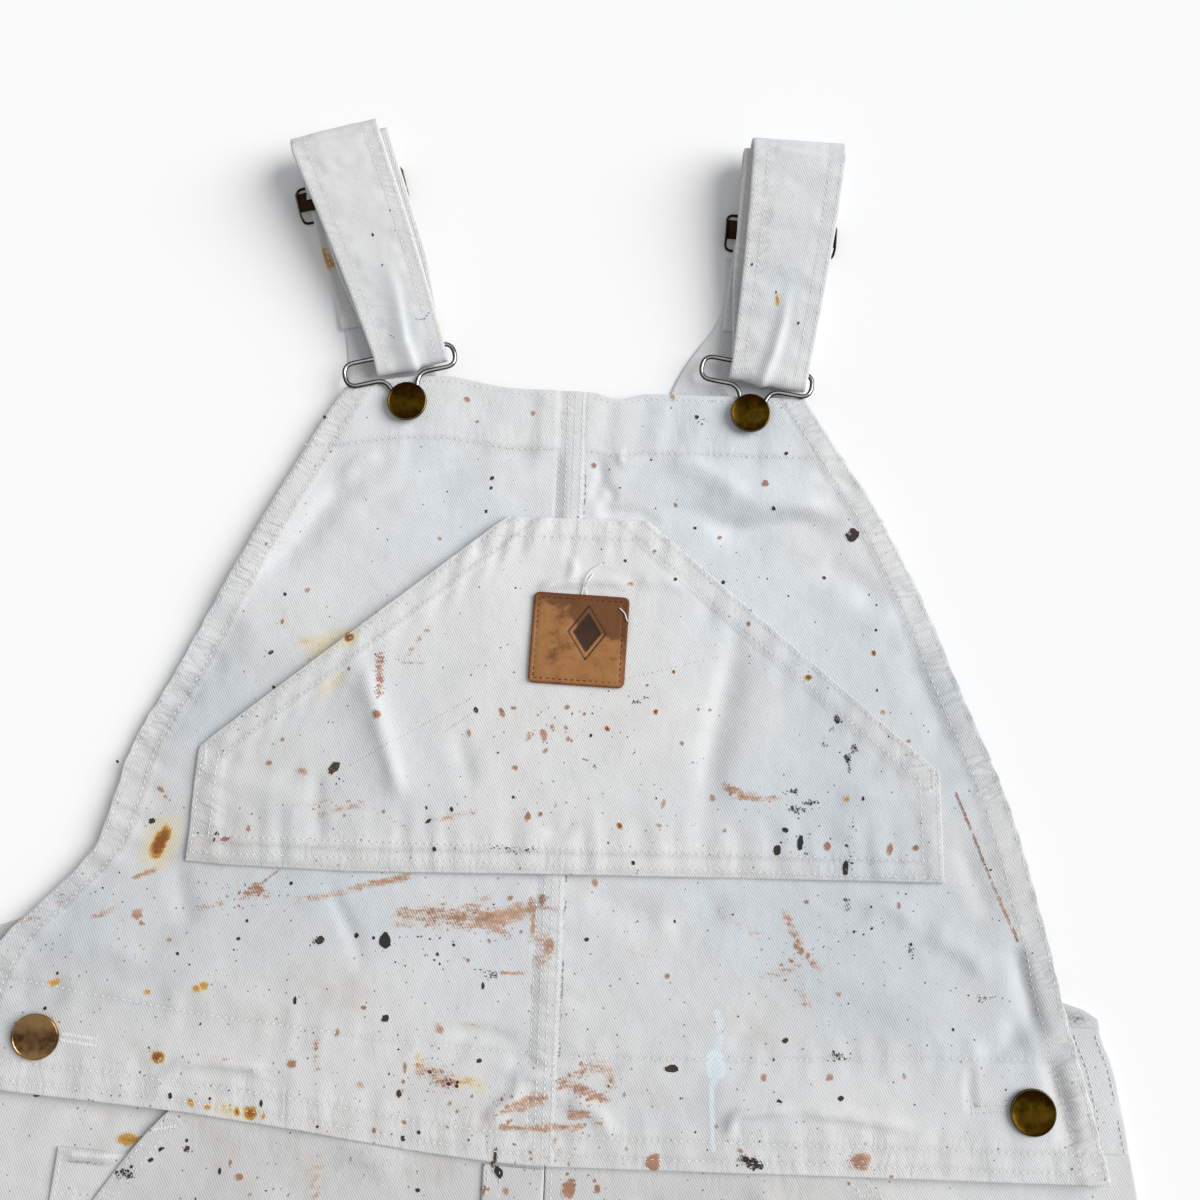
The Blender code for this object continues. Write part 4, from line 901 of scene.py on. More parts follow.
    rusty = s.math("MULTIPLY_ADD", ragged, s.step(rust, 0.0, 0.2), rust)
    colour = s.mix(s.step(rust, 0.1, 0.7, 0.0, 0.12), colour, srgb(206, 176, 148))
    redder = s.step(s.math("ADD", s.noise(where, 30, 2.0), s.math("MULTIPLY", rusty, 0.30)), 0.55, 1.00)
    stained = s.mix(redder, srgb(198, 163, 136), srgb(156, 106, 76))
    colour = s.mix(s.step(rusty, 0.42, 0.80, 0.0, 0.88), colour, stained)

    milky = s.step(s.math("MULTIPLY_ADD", ragged, 0.25, pale), 0.35, 0.60, 0.0, 0.9)
    colour = s.mix(milky, colour, srgb(224, 236, 243))

    splat = s.math("MULTIPLY_ADD", ragged, s.step(dark, 0.0, 0.2, 0.0, 0.45), dark)
    splat = s.step(splat, 0.40, 0.70, 0.0, 0.95)
    brownish = s.step(s.noise(where, 45, 1.0), 0.40, 0.60)
    colour = s.mix(splat, colour, s.mix(brownish, srgb(26, 23, 17), srgb(58, 36, 20)))

    relief = s.math("MULTIPLY_ADD", twill, 0.045, s.math("MULTIPLY", yarn, 0.16))
    relief = s.math("MULTIPLY_ADD", s.noise(where, 150, 3.0, 0.6), 0.45, relief)
    relief = s.math("MULTIPLY_ADD", s.noise(where, 42, 2.0, 0.5), 1.6, relief)
    relief = s.math("MULTIPLY_ADD", folded, 0.42, relief)
    return s.finish(colour, relief, 0.0011, 0.8)


def thread():
    s = Shader("thread", Roughness=0.8, Specular_IOR_Level=0.15)
    where = s.add("TexCoord", {}, 3)
    return s.finish(s.mix(s.noise(where, 150, 1.0), srgb(226, 227, 228), srgb(248, 247, 245)))


def aged(name, dark, light, rim, roughness):
    """Old metal, worn bright where it is rubbed, with a painted reflection across it."""
    s = Shader(name, Metallic=1.0)
    where = s.add("TexCoord", {}, 3)
    wear_and_reflection = s.add("Attribute", {}, 0, attribute_name="wear")
    wear, across = (s.add("SeparateColor", {0: wear_and_reflection}, k) for k in (0, 1))
    cloudy = s.noise(where, 260, 4.0, 0.65)
    # Painted reflection: the wear layer's second channel turns the metal between its two tones across it,
    # mixed with its real cloudy tarnish.
    colour = s.mix(s.step(s.math("MULTIPLY_ADD", across, 0.7, cloudy), 0.45, 1.15), dark, light)
    rubbed = s.step(s.math("MULTIPLY_ADD", cloudy, 0.4, wear), 0.75, 1.1)
    scratched = s.noise(s.scaled(where, (300, 3000, 300)), 1.0, 1.0)
    scratched = s.math("MULTIPLY_ADD", scratched, 0.3, cloudy)
    s.put(s.surface, "Roughness", s.step(scratched, 0.3, 1.0, *roughness))
    return s.finish(s.mix(rubbed, colour, rim), cloudy, 0.00006, 0.5)


def chrome():
    """Nickel wire with a painted reflection: light where it faces the camera and dark at its edges, as if it
    mirrored a dark room beside a bright one.
    """
    s = Shader("nickel", Metallic=1.0, Roughness=0.14, Specular_Tint=(0.03, 0.03, 0.03, 1))
    facing = s.add("LayerWeight", {0: 0.5}, 1)
    where = s.add("TexCoord", {}, 3)
    normal = s.add("TexCoord", {}, 1)
    turned = s.add("VectorMath", {0: normal, 1: (-0.11, -0.13, 0.0)}, 1, operation="DOT_PRODUCT")
    # Painted reflection: the colour turns from white to grey to near black towards the wire's edges.
    edge = s.math("ADD", s.math("MULTIPLY_ADD", s.noise(where, 110, 2.0), 0.16, facing), turned)
    colour = s.mix(s.step(edge, 0.12, 0.20), srgb(252, 251, 249), srgb(136, 130, 122))
    colour = s.mix(s.step(edge, 0.24, 0.40), colour, srgb(22, 19, 17))
    return s.finish(colour)


def leather():
    """Tan leather, dark in its worn hollows and at its burnt edge."""
    s = Shader("leather", Roughness=0.6, Specular_IOR_Level=0.3)
    where = s.add("Attribute", {}, 1, attribute_name="cloth")
    wear = s.add("Attribute", {}, 0, attribute_name="wear")
    edge, stamp, corner = (s.add("SeparateColor", {0: wear}, k) for k in (0, 1, 2))
    blotch = s.noise(where, 85, 5.0, 0.72)
    grain = s.noise(where, 1500, 3.0, 0.7)
    worn = s.step(s.math("MULTIPLY_ADD", corner, 0.42, blotch), 0.50, 0.74)
    colour = s.mix(s.noise(where, 190, 3.0), srgb(178, 128, 80), srgb(150, 98, 50))
    colour = s.mix(s.math("MULTIPLY", worn, 0.80), colour, srgb(92, 52, 20))
    colour = s.mix(s.step(grain, 0.55, 0.8, 0.0, 0.35), colour, srgb(98, 60, 36))
    colour = s.mix(s.math("MULTIPLY", edge, 0.8), colour, srgb(104, 52, 24))
    burnt = s.step(s.math("MULTIPLY_ADD", grain, 0.3, stamp), 0.45, 0.7, 0.0, 0.93)
    colour = s.mix(burnt, colour, srgb(48, 28, 18))
    return s.finish(colour, s.math("MULTIPLY_ADD", grain, 0.4, blotch), 0.0004, 0.7)


COTTON = drill()
THREAD = thread()
BRASS = aged("old_brass", srgb(50, 30, 4), srgb(98, 74, 16), srgb(176, 162, 132), (0.26, 0.40))
BRONZE = aged("bronze", srgb(196, 154, 104), srgb(92, 66, 42), srgb(70, 50, 34), (0.12, 0.30))
DARK = aged("dark_metal", srgb(38, 30, 24), srgb(74, 54, 38), srgb(150, 138, 116), (0.30, 0.50))
NICKEL = chrome()
LEATHER = leather()
DARK_THREAD = Shader("dark_thread", Roughness=0.7).finish(srgb(112, 62, 34))


# ---- Stains -----------------------------------------------------------------------------------------------
# Soaked-in stains as soft strokes: rust, ochre, dark and pale are the channels of a colour attribute. Below
# about 0.6 a stroke is dry and broken, and past 1 it is solid.
Smear = namedtuple("Smear", "path width strength")


def smear_table(*rows):
    """Smears from their width and strength, then the x and y of each point, in millimetres."""
    return tuple(Smear(path_of(row[2:]), metres(row[0]), row[1]) for row in rows)


RUST_SMEARS = smear_table(
    (8, 0.68, -69, 105, -58, 106.2, -47, 106, -33, 105.8), (3.6, 0.92, -50, 105.8, -42, 105.6, -33, 105.4),
    (5.6, 1.2, -34.5, 105, -25.5, 106.2, -16.3, 109.4), (2.2, 1, -16.6, 109.2, -10.5, 110.2),
    (4, 0.62, -43, 110, -37, 112.2, -32, 114), (3, 0.85, -28.5, 101.5, -20.5, 98.5),
    (2.2, 1.15, -10.5, 114.6, -10, 107, -9, 100.2), (1.8, 0.62, -8.5, 111.5, 0.5, 111.2),
    (5.6, 0.66, -7.5, 97.5, -2, 95, -5.3, 87), (1.8, 0.8, -22, 82.2, -11.5, 81.8),
    (2.4, 0.5, -40.2, 60, -32.6, 58.8), (2.6, 0.5, -162.7, 105.6, -156, 107, -149.1, 108.8),
    (3.2, 0.72, -142, 112, -136.6, 114, -131, 112.5), (3.4, 1, -137.2, 116.5, -134.5, 114.5),
    (3, 0.66, -118.3, 110.6, -106, 112.8, -89.3, 117.9), (2.8, 1.05, -85, 119, -74.9, 121.5, -68.5, 122.8),
    (2.1, 0.95, -193, 118.5, -184, 122.4), (2.6, 0.66, -209.6, 100.5, -204, 102.5, -199.8, 104.5),
    (2.2, 0.75, -225.9, 109.2, -225.5, 105), (2.2, 0.7, -239, 97.5, -233.5, 99.2),
    (2.8, 1, -86.2, 224.5, -85.8, 215, -85.1, 206.5), (1.8, 0.6, -78.6, 222.2, -66.4, 220.8),
    (2.4, 0.5, -74.4, 222.9, -70, 230, -63.9, 238.1), (3.4, 0.95, 76.5, 169, 83, 165.6, 90, 164.5),
    (2.4, 0.66, 88, 164.5, 96, 164, 102, 164.5), (2.6, 0.64, -109.8, 149.5, -98.5, 153, -89, 155.7),
    (2.2, 0.5, -119, 154.6, -105.7, 156.5), (2.6, 0.6, -59, 149, -38.5, 153.4),
    (2.2, 0.46, -78, 150, -68, 144), (3.2, 0.8, 104.9, 113.3, 107, 108.5, 111.9, 98.9),
    (2.8, 0.66, 111, 98, 121, 88.2), (3.2, 0.6, 95, 85, 102, 86.2, 112, 90.1),
    (3, 0.68, 112, 79.1, 114.9, 72.6), (4.6, 0.4, 73.1, 112.2, 83, 108, 93.7, 102.7),
    (2.6, 0.84, -20.7, 22.3, -12.2, 25), (4.4, 0.96, -12.8, 25.6, -7.5, 27.6, -2.2, 29),
    (3.6, 0.92, 6, 35.2, 15, 33.2, 25.5, 29.2), (4.4, 0.64, 10, 38.8, 18.5, 42.5, 26, 43, 27.5, 35.2),
    (2.4, 1, 10.1, 24.3, 17.8, 23.6), (1.4, 0.95, 9.5, 21.7, 17, 21.2, 24.8, 20),
    (2.2, 1, -19.5, 16.4, -12.6, 16.3, 1.2, 16.6), (2.6, 1.05, 4.3, 17.2, 15, 17.6),
    (1.2, 0.9, 4, 12.2, 6.2, 6.5), (7, 0.6, -56, 39.2, -50, 37.8, -43, 34.5),
    (3.6, 0.6, -103.6, 50.8, -103.8, 44, -103.6, 38), (3.6, 0.76, -101, -1, -101, -11, -101.3, -23),
    (10, 0.22, -180, 45, -150, 41, -120, 35), (7, 0.22, 30, 95, 50, 88, 65, 90),
    (9, 0.75, -180, -310, -150, -340, -135, -330), (8, 0.7, 130, -420, 160, -410, 185, -430),
    (10, 0.7, -220, -680, -190, -700), (7, 0.65, 110, -760, 170, -740),
    (6, 0.7, 50, -140, 90, -130, 110, -150), (5, 0.66, -70, -180, -110, -160),
)
OCHRE_SMEARS = smear_table(
    (11.8, 0.46, -181.2, 138.5, -183.6, 130), (7, 0.42, -118, 226, -109.3, 230.8, -101, 232),
    (6, 0.3, -104, 213, -112, 206), (4, 0.55, -144, 20.2, -137.2, 18.6), (2.4, 0.6, -58.5, 45, -57.8, 40),
    (3.2, 0.6, -40, 34.5, -34, 35.2, -30, 33.5), (2.6, 0.5, -125, 230, -119, 230.8),
    (9, 0.6, -160, -35, -150, -50), (12, 0.95, 150, -300, 156, -315),
)
DARK_SMEARS = smear_table(
    (3.6, 0.5, -26.2, 136.6, -10.1, 137.2), (2.2, 0.85, -22, 7, -22.5, -3),
    (2, 0.5, 135, 158, 134.2, 145, 134.5, 130.9), (4.2, 0.62, 133.8, 119, 134.5, 115),
    (3.6, 0.72, 95, 4, 86, 7), (3, 0.55, 126.5, 52, 134, 50), (6, 0.75, 170, -210, 160, -235),
    (6, 0.7, -150, -520, -130, -530),
)
PALE_SMEARS = smear_table(
    (6.2, 1.1, 74.4, 48, 74.8, 44), (1.8, 0.95, 73.5, 43, 73.1, 28, 73.8, 9.2),
    (5.6, 0.52, 74.8, 69.1, 76, 60, 75, 51.9), (6, 0.9, 120, -90, 122, -130),
)
# Single spots, by the stain they are of: their half sizes stay in millimetres, and they lean in degrees.
Spot = namedtuple("Spot", "x y wide high lean strength", defaults=(0, 1.0))
REAR_SMEARS = smear_table((6.2, 0.78, -132, 427, -124, 419))
STRAP_SMEARS = smear_table((2.6, 0.62, -66, 386, -63, 379), (1.6, 0.9, 96.2, 405, 96.6, 401))
# Dots on the straps' fronts, where they are seen, by side.
STRAP_DOTS = {
    -1: table(Spot, 2,
        (-91.4, 435.8, 0.5, 0.5), (-100.5, 427, 0.6, 0.8), (-95.2, 412.8, 0.6, 0.6),
        (-91.4, 380.3, 0.5, 0.5), (-89.6, 379.7, 0.4, 0.4), (-70, 386.6, 0.4, 0.4),
        (-71.2, 385.6, 0.5, 0.4), (-72.2, 385, 0.3, 0.3), (-73.3, 384.7, 0.3, 0.3),
        (-68.9, 387.2, 0.4, 0.3), (-74.2, 385.1, 0.3, 0.3),
    ),
    1: table(Spot, 2,
        (82.5, 418.9, 0.5, 0.9), (108.3, 393.7, 0.5, 0.8), (95.5, 407, 0.4, 0.8),
    ),
}
RUST_SPOTS = table(Spot, 2,
    (-5.9, 114.8, 1.7, 2.4), (-1.7, 94.8, 2.1, 3), (-20.5, 115, 1.2, 1.2), (-189.6, 102.4, 2.2, 2.6),
    (-187.5, 98.5, 0.9, 1.1), (-85.5, 196.4, 1.7, 2.1), (-28, 199.4, 1.3, 2.1, 20),
    (-22.6, 201.7, 1.1, 1.1, 0, 0.8), (2.2, 202.9, 1.2, 1.1), (-42.9, 189.3, 1, 1.8, 15, 0.9),
    (-15, 188.6, 1.1, 2.3, -15, 0.75), (-8.1, 189.7, 1.6, 2.7, 20), (3.2, 188.2, 1, 1.1),
    (-7, 182.5, 1, 1.3, -20, 0.9), (-20.7, 174.2, 1.2, 1.3), (-13.9, 152.1, 1.3, 2.1),
    (-8.2, 153.3, 1, 1.1, 0, 1.1), (48.1, 160.1, 0.9, 2, -10), (71, 163.6, 1.2, 1.7, 10),
    (68.8, 204, 0.8, 0.9, 0, 0.75), (39.1, 214.3, 0.7, 0.7), (123.8, 143.4, 1.8, 1.7),
    (152.7, 143.2, 1.4, 2.6, -10), (164.5, 144, 1.5, 1.4), (-123, 254.3, 1.1, 1.2),
    (-184.2, 158.6, 2.3, 0.9, -40, 0.9), (-181.7, 155.4, 1.1, 0.6, -20), (-119.1, 169.1, 3.2, 1.4, 0, 0.72),
    (-141.6, 142, 0.9, 2.3, -10, 0.66), (-151.9, 137.4, 2.4, 0.9, 15, 0.9), (-95.2, 53.6, 1.1, 1.7, 0, 0.8),
    (-83.2, 31.6, 1.6, 1.6, 0, 0.7), (-63.9, 40.2, 0.8, 2.2), (-64.3, 34, 0.9, 0.9),
    (-64.5, 30, 0.8, 0.8, 0, 0.8), (-62.9, 16.9, 0.9, 0.9), (-43, 25.3, 0.9, 1.2, 0, 0.75),
    (-39.7, 22, 0.8, 0.8, 0, 0.75), (23.7, -9, 1.2, 1.9), (-16.5, -10.8, 1.3, 1.3), (95.9, 41.3, 1.3, 1.4),
    (125.4, 42.3, 1.5, 1.5), (-49.4, 57.3, 1.8, 2.4, 0, 0.85), (17.9, 123.3, 1.6, 1.7),
    (-52.2, 350.6, 1.5, 1.2), (-19.9, 344.8, 1.1, 1.1), (47.6, 355.2, 1.2, 1.5), (92.9, 313.5, 1.6, 1.8),
    (-114.5, 40, 1.9, 2.1), (47.8, 4.1, 3.6, 3.4), (139.8, 7.1, 4.3, 4.2), (11.1, -9.1, 2.8, 4.1),
    (-26, -10.9, 2.2, 2), (-139, -3.6, 0.9, 2), (-134.4, -8.9, 1.6, 1.5), (67, 354, 0.6, 0.6),
    (10.5, 320, 1.1, 1.3, 30), (50.5, 302, 0.9, 0.9), (72, 287, 1.1, 1), (40.8, 278, 0.9, 1),
    (30, 262, 1.3, 1), (56, 188, 0.8, 1), (-134.5, 172.5, 1.4, 1.3), (-129, 183.5, 0.9, 1.1),
    (150, 206, 1, 1.1), (162, 193, 0.9, 0.9), (86, 245, 0.9, 1.1), (-84, 65, 1, 1), (52, 83, 1.2, 1.2),
    (157, 118, 1, 1.3), (86, 10, 1.2, 1), (-76, 13, 1, 1.2), (115, 118, 1, 1),
)
OCHRE_SPOTS = table(Spot, 2,
    (-182.4, 134.5, 3.3, 7.4, -19), (-101.3, 232.1, 2.2, 2.4), (-224, 71.2, 2.9, 2, 10, 0.66),
    (-181.4, 68.5, 1.6, 1.3, 0, 0.66), (-159.3, 70.7, 2, 1.7, 0, 0.68), (-156.2, 72.2, 2.2, 1.9, 0, 0.68),
    (-173.8, 40.8, 2.6, 3.1, 20), (-172.2, 39.6, 1.4, 1.4, 0, 0.7), (-157.7, 22.2, 1.4, 2, 30, 0.66),
    (-150.2, 20.4, 1.6, 1.4, 0, 0.66), (-137, 18.8, 1.2, 1.7, 0, 0.8), (-130.9, 18.6, 3, 3.2, 0, 0.86),
    (-125.2, 17.6, 0.9, 1.5, 0, 0.66), (-185.6, 4.5, 4.6, 2.9, 0, 0.72), (114.3, 220.7, 1.6, 1.5),
    (145.7, 233.6, 1.2, 1.1), (132.5, 165.3, 1.3, 1.3, 0, 0.6), (51.3, 221.1, 0.8, 0.8),
    (43.4, 202.2, 1.1, 1.1), (21.2, 193.6, 1.1, 1.1), (28.3, 149.4, 1.2, 1.4),
    (-133.8, 238.9, 0.7, 1.5, -10, 0.8), (52, -183, 3.2, 3.6), (-184, -410, 3.6, 3),
)
DARK_SPOTS = table(Spot, 2,
    (-76.5, 94.4, 2.4, 3.7), (-106, 93.4, 2.2, 1.9), (-89.8, 96.1, 1.1, 1.2),
    (-104.4, 171.3, 1.7, 3.8, -35), (135.1, 290.1, 3, 3.1), (128, 201.6, 1.5, 1.6),
    (104.4, 150.1, 1.3, 1.2), (100.9, 141, 1.6, 2.5, -12), (111.5, 144.5, 1.4, 3.3),
    (132.2, 133.9, 1.4, 3.1), (-135.5, 207.7, 0.8, 0.8), (55.1, 43.5, 3.3, 1.5), (-115.1, 67.1, 0.8, 1.7),
    (-228.5, 21.8, 1.4, 1), (-187.1, 144.2, 1.3, 1.4), (-38.2, 311.8, 1, 1), (-38.4, 306.8, 0.8, 0.8),
    (-40.2, 295.5, 0.8, 0.8), (-120.5, 339.1, 0.9, 0.9), (59.5, 345.7, 1, 1), (-74.1, 60.7, 1.7, 1.5),
    (-66, 28.7, 1.1, 1.7), (105.6, 57.2, 1.3, 1.2), (130.4, 33.5, 1.3, 1.2), (102.8, 31.3, 1.2, 1.1),
    (-126.6, 22.7, 0.8, 1.3), (-143.5, -7, 0.8, 1.3), (-122.2, -13.7, 0.9, 0.9),
    (-174, -3.1, 0.8, 1.4, -50), (-169.9, 1.3, 1.4, 1, 30), (-167.1, 24.6, 0.9, 1.3),
    (-139.8, 100.9, 0.7, 0.7), (-169.5, 85.6, 0.7, 0.7), (-226.5, 60, 0.8, 0.8), (-121, 118.3, 0.8, 0.8),
    (103, 329, 0.9, 0.9), (97, 301, 0.9, 0.9), (38, 324, 0.7, 0.7), (60, 291, 0.8, 0.8),
    (122, 269, 0.8, 0.8), (74, 265, 0.9, 0.9), (51, 265, 0.9, 0.8), (27, 273, 0.7, 0.7),
    (-49, 154.2, 0.8, 1), (-59.6, 148.5, 0.6, 1.7, -50), (-40.1, 200.1, 1.1, 1.2), (-23.2, 218.4, 0.5, 0.5),
    (14.1, 200.4, 0.5, 0.5), (13.7, 190.2, 0.6, 0.9), (30.7, 190.1, 0.4, 0.4), (-28.9, 180.8, 0.6, 0.6),
    (-20.9, 160.7, 0.7, 0.7), (-31, 76.1, 0.7, 1.6), (-20.1, -3.1, 1.5, 2.6, 20), (-52.8, 38.5, 0.8, 0.8),
    (-44.1, 33.7, 0.8, 0.8), (-40.4, 33, 0.8, 0.8), (-56.2, 13, 0.8, 0.8), (-63, 10, 0.9, 1.4),
    (-133.4, 251.9, 0.8, 0.8), (-138, 224, 1.6, 0.7, 35), (-205.3, 170.7, 0.7, 0.7),
    (-140.6, 148.9, 0.5, 0.5), (-164.9, 139.6, 0.5, 0.5), (-156.2, 139.6, 0.4, 1.1, -15),
    (-156.8, 136.8, 0.4, 0.8, -15), (-56, 136, 0.8, 1.1), (35, 133, 0.9, 0.9), (139.9, 165.6, 0.7, 0.9),
    (15, 98, 1, 1), (-143, 93, 0.8, 0.8), (-31, 44, 1.1, 1),
)
# Groups of small spots: where, how far they spread in millimetres, how many and the largest.
Group = namedtuple("Group", "x y wide high count largest")
DARK_GROUPS = table(Group, 2,
    (107.8, 167.7, 4, 1.6, 34, 0.75), (110, 159.2, 4.8, 2.6, 44, 0.85), (116, 163, 4.2, 1.4, 36, 0.75),
    (136.2, 188.2, 2.2, 1.6, 26, 0.9), (133, 183.6, 1.6, 3, 34, 0.95), (133.6, 178.5, 1, 2.2, 12, 0.6),
    (128.9, 201.8, 2.2, 1.8, 14, 0.7), (126.2, 197.2, 1.6, 1.8, 14, 0.6), (122.2, 189.8, 2.4, 1.4, 14, 0.5),
    (34.7, 206.4, 2.4, 1, 26, 0.7), (38.8, 208.6, 3, 0.9, 18, 0.5), (12, 178.9, 2.2, 0.8, 12, 0.45),
    (16.1, 176.1, 0.7, 1.4, 10, 0.45), (33.9, 183, 1, 1.4, 10, 0.45), (61.9, 179.4, 2.4, 0.9, 10, 0.4),
    (-1.3, 158, 0.9, 1.4, 12, 0.45), (-107.8, 93, 3, 2.4, 34, 0.6), (-26.8, 81.2, 2.6, 2.2, 44, 0.6),
    (-32.5, 82.7, 4.2, 0.8, 12, 0.5), (-44, 34.5, 4, 3, 14, 0.7), (-138, 224, 3, 2, 10, 0.4),
    (-184.6, -9.7, 4.2, 3.2, 46, 1.1), (162.7, 98, 2.2, 3.2, 24, 0.7), (195.5, 78.3, 7, 2, 26, 0.6),
    (130.3, 51.1, 5, 2.4, 30, 0.7), (-159.3, 2.1, 3.4, 2.6, 7, 1.2), (90.7, 5.5, 5, 4, 40, 0.9),
    (62, 344, 5, 2.6, 7, 0.6), (-104.4, 170, 3, 5, 16, 0.7), (135, 290, 3.4, 3, 10, 0.7),
    (-18, 137, 12, 2.5, 30, 0.6), (134, 140, 2, 16, 16, 0.7), (109, 143, 12, 6, 14, 0.8),
    (-60, 90, 30, 14, 26, 0.8), (0, 190, 45, 20, 16, 0.7), (130, 105, 30, 14, 22, 0.7),
)
RUST_GROUPS = table(Group, 2,
    (2, 193, 26, 12, 14, 1.1), (112, 92, 16, 14, 34, 1.2), (90, 163, 12, 8, 10, 1),
    (-40, 106, 34, 12, 60, 0.9), (15, 33, 18, 12, 44, 1), (-20, 27, 14, 9, 26, 0.9),
    (-105, 153, 22, 8, 24, 0.8), (-140, 112, 24, 8, 30, 0.8), (50, 150, 28, 10, 14, 1),
    (-49.4, 37.2, 7, 5.5, 60, 0.8), (0, 17, 24, 3, 24, 0.9), (-185, 50, 30, 40, 26, 0.7),
    (-85, 215, 8, 22, 10, 0.8), (5, 0, 40, 14, 30, 1.1), (138, 5, 12, 9, 16, 1.1),
)
# Thin strokes laid as one row of spots.
Streak = namedtuple("Streak", "start end wide step")
RUST_STREAKS = (
    Streak((0.1837, 0.1698), (0.1905, 0.1540), 0.75, 0.0008),
    Streak((0.1912, 0.1520), (0.2020, 0.1250), 0.60, 0.0009),
    Streak((0.2030, 0.1230), (0.2108, 0.1045), 0.85, 0.0008),
    Streak((-0.1340, 0.1180), (-0.1270, 0.1240), 0.45, 0.0009),
    Streak((-0.0550, 0.1890), (-0.0400, 0.2000), 0.25, 0.0012),
    Streak((0.0180, 0.2140), (0.0760, 0.2300), 0.22, 0.0022),
    Streak((-0.0980, 0.1720), (-0.0420, 0.2060), 0.25, 0.0016),
)


def strokes(smears, x, y):
    """The strongest of a table's smears at x, y."""
    total = np.zeros(x.shape)
    for smear in smears:
        close, off, _ = near_path(path_points(smear.path, 14), x, y, smear.width)
        soaked = smear.strength * (1 - (np.abs(off) / smear.width).clip(0, 1) ** 1.5)
        total[close] = np.maximum(total[close], soaked)
    return total


def stain_field(x, y):
    smears = (RUST_SMEARS, OCHRE_SMEARS, DARK_SMEARS, PALE_SMEARS)
    return np.stack([strokes(rows, x, y) for rows in smears], axis=-1)


# ---- Back -------------------------------------------------------------------------------------------------
def constant(value):
    return lambda y: np.full_like(y, value)


def side_opening(side, y):
    """The back's side edge, above and below the waist, a little inside its outline."""
    name = side_name(side)
    return np.where(y > 0, along(BACK_BIB_SIDES, name, y), along(SILHOUETTE, name, y)) - side * EDGE_INSET


def back_leg(side):
    name = side_name(side)
    outer = lambda y: along(SILHOUETTE, name, y)
    inner = lambda y: np.where(y < CROTCH_Y, along(INSEAMS, name, y), side * GAP / 2)
    x, y, edge = panel_grid(outer, inner, HEM_Y, -GAP, 0.010, 0.28)
    dress(f"back_leg_{name}", x, y, edge, CLOTH + 0 * x, 0 * x)


def back_bib(side):
    """The back's upper half, whose right corner, where it stands out past the bib, has a painted shadow in
    place of the hollow under a rumpled fold.
    """
    name = side_name(side)
    outer = lambda y: along(BACK_BIB_SIDES, name, y)
    inner = lambda y: np.where(y > NECKLINE[0].y, along(NECKLINE, name, y), side * GAP / 2)
    x, y, edge = panel_grid(outer, inner, GAP, NECKLINE[-1].y, 0.0040, 0.15)
    lift = np.maximum(puckers(y, edge, 0.012, 0.0003, 0.012, 61), 0) * (y > 0.36)
    # Painted shadow: a dark patch at the right corner, where a hollow under a fold lies in shade.
    hollow_shadow = ((x - 0.2385) / 0.0050) ** 2 + ((y - 0.0700 + 0.3 * (x - 0.2385)) / 0.0026) ** 2
    sewn = shades(2.2 * (side > 0) * np.exp(-hollow_shadow))
    # The pocket's warmer lot also warms this piece where it lies in shade: painted warm shade.
    dress(f"back_bib_{name}", x, y, edge, CLOTH + lift, 0 * x, sewn, POCKET_LOT)


def side_placket(side):
    name = side_name(side)
    outer = lambda y: side_opening(side, y)
    inner = lambda y: outer(y) - side * PLACKET_WIDTH
    x, y, edge = panel_grid(outer, inner, SLANTS[side].side_y - 0.008, PLACKET_TOP, 0.0030, PLACKET_WIDTH)
    over = PLACKET_FLOOR + CLOTH + np.maximum(puckers(y, edge, 0.012, 0.0004, 0.014, 62), -0.0001)
    dress(f"side_placket_{name}", x, y, edge, over, PLACKET_FLOOR + 0 * x)


# ---- Front legs and hand pockets --------------------------------------------------------------------------
def hip_facing(side):
    name = side_name(side)
    near = lambda y: outer_edge(side, y)
    far = lambda y: slant_x(side, y) - side * FACING_LAP
    x, row, edge = panel_grid(near, far, SLANTS[side].side_y - 0.010, SEAM_LAP, 0.0025, 0.10)
    y = follow_waist(x, row)
    dress(f"hip_facing_{name}", x, y, edge, facing_face(x, y), FACING_FLOOR + 0 * x)


def front_leg(side):
    name = side_name(side)
    mouth = lambda y: np.where(y > SLANTS[side].side_y, slant_x(side, y), outer_edge(side, y))
    inner = lambda y: np.where(y < CROTCH_Y, along(INSEAMS, name, y) + side * EDGE_INSET, side * GAP / 2)
    x, row, edge = panel_grid(mouth, inner, HEM_Y, SEAM_LAP, 0.0048, 0.26)
    y = follow_waist(x, row)
    over = leg_face(side, x, y, row)
    under = leg_floor(side, x, row)
    hem = band(row - HEM_Y, LEG_HEM)
    under = under - HEM_PLY * hem * smooth((under - FLAT_PLY) / HEM_PLY)
    under = np.minimum(under, over - 0.0008)
    from_side, from_mouth = np.abs(outer_edge(side, row) - x), np.abs(x - slant_x(side, row))
    drawn = np.maximum(band(from_side, 0.015), band(from_mouth, 0.012))
    level = 0.3 * bell(row + 0.004, 0.012) + 0.6 * hem
    sewn = shades(0.0, drawn, level * (1 - drawn))
    dress(f"front_leg_{name}", x, y, edge, over, under, sewn, LEG_LOT)


def small_pocket_side(name, y):
    """Its sides lean in towards its foot."""
    return SMALL_POCKET[name] - 0.12 * (SMALL_POCKET["top"] - y)


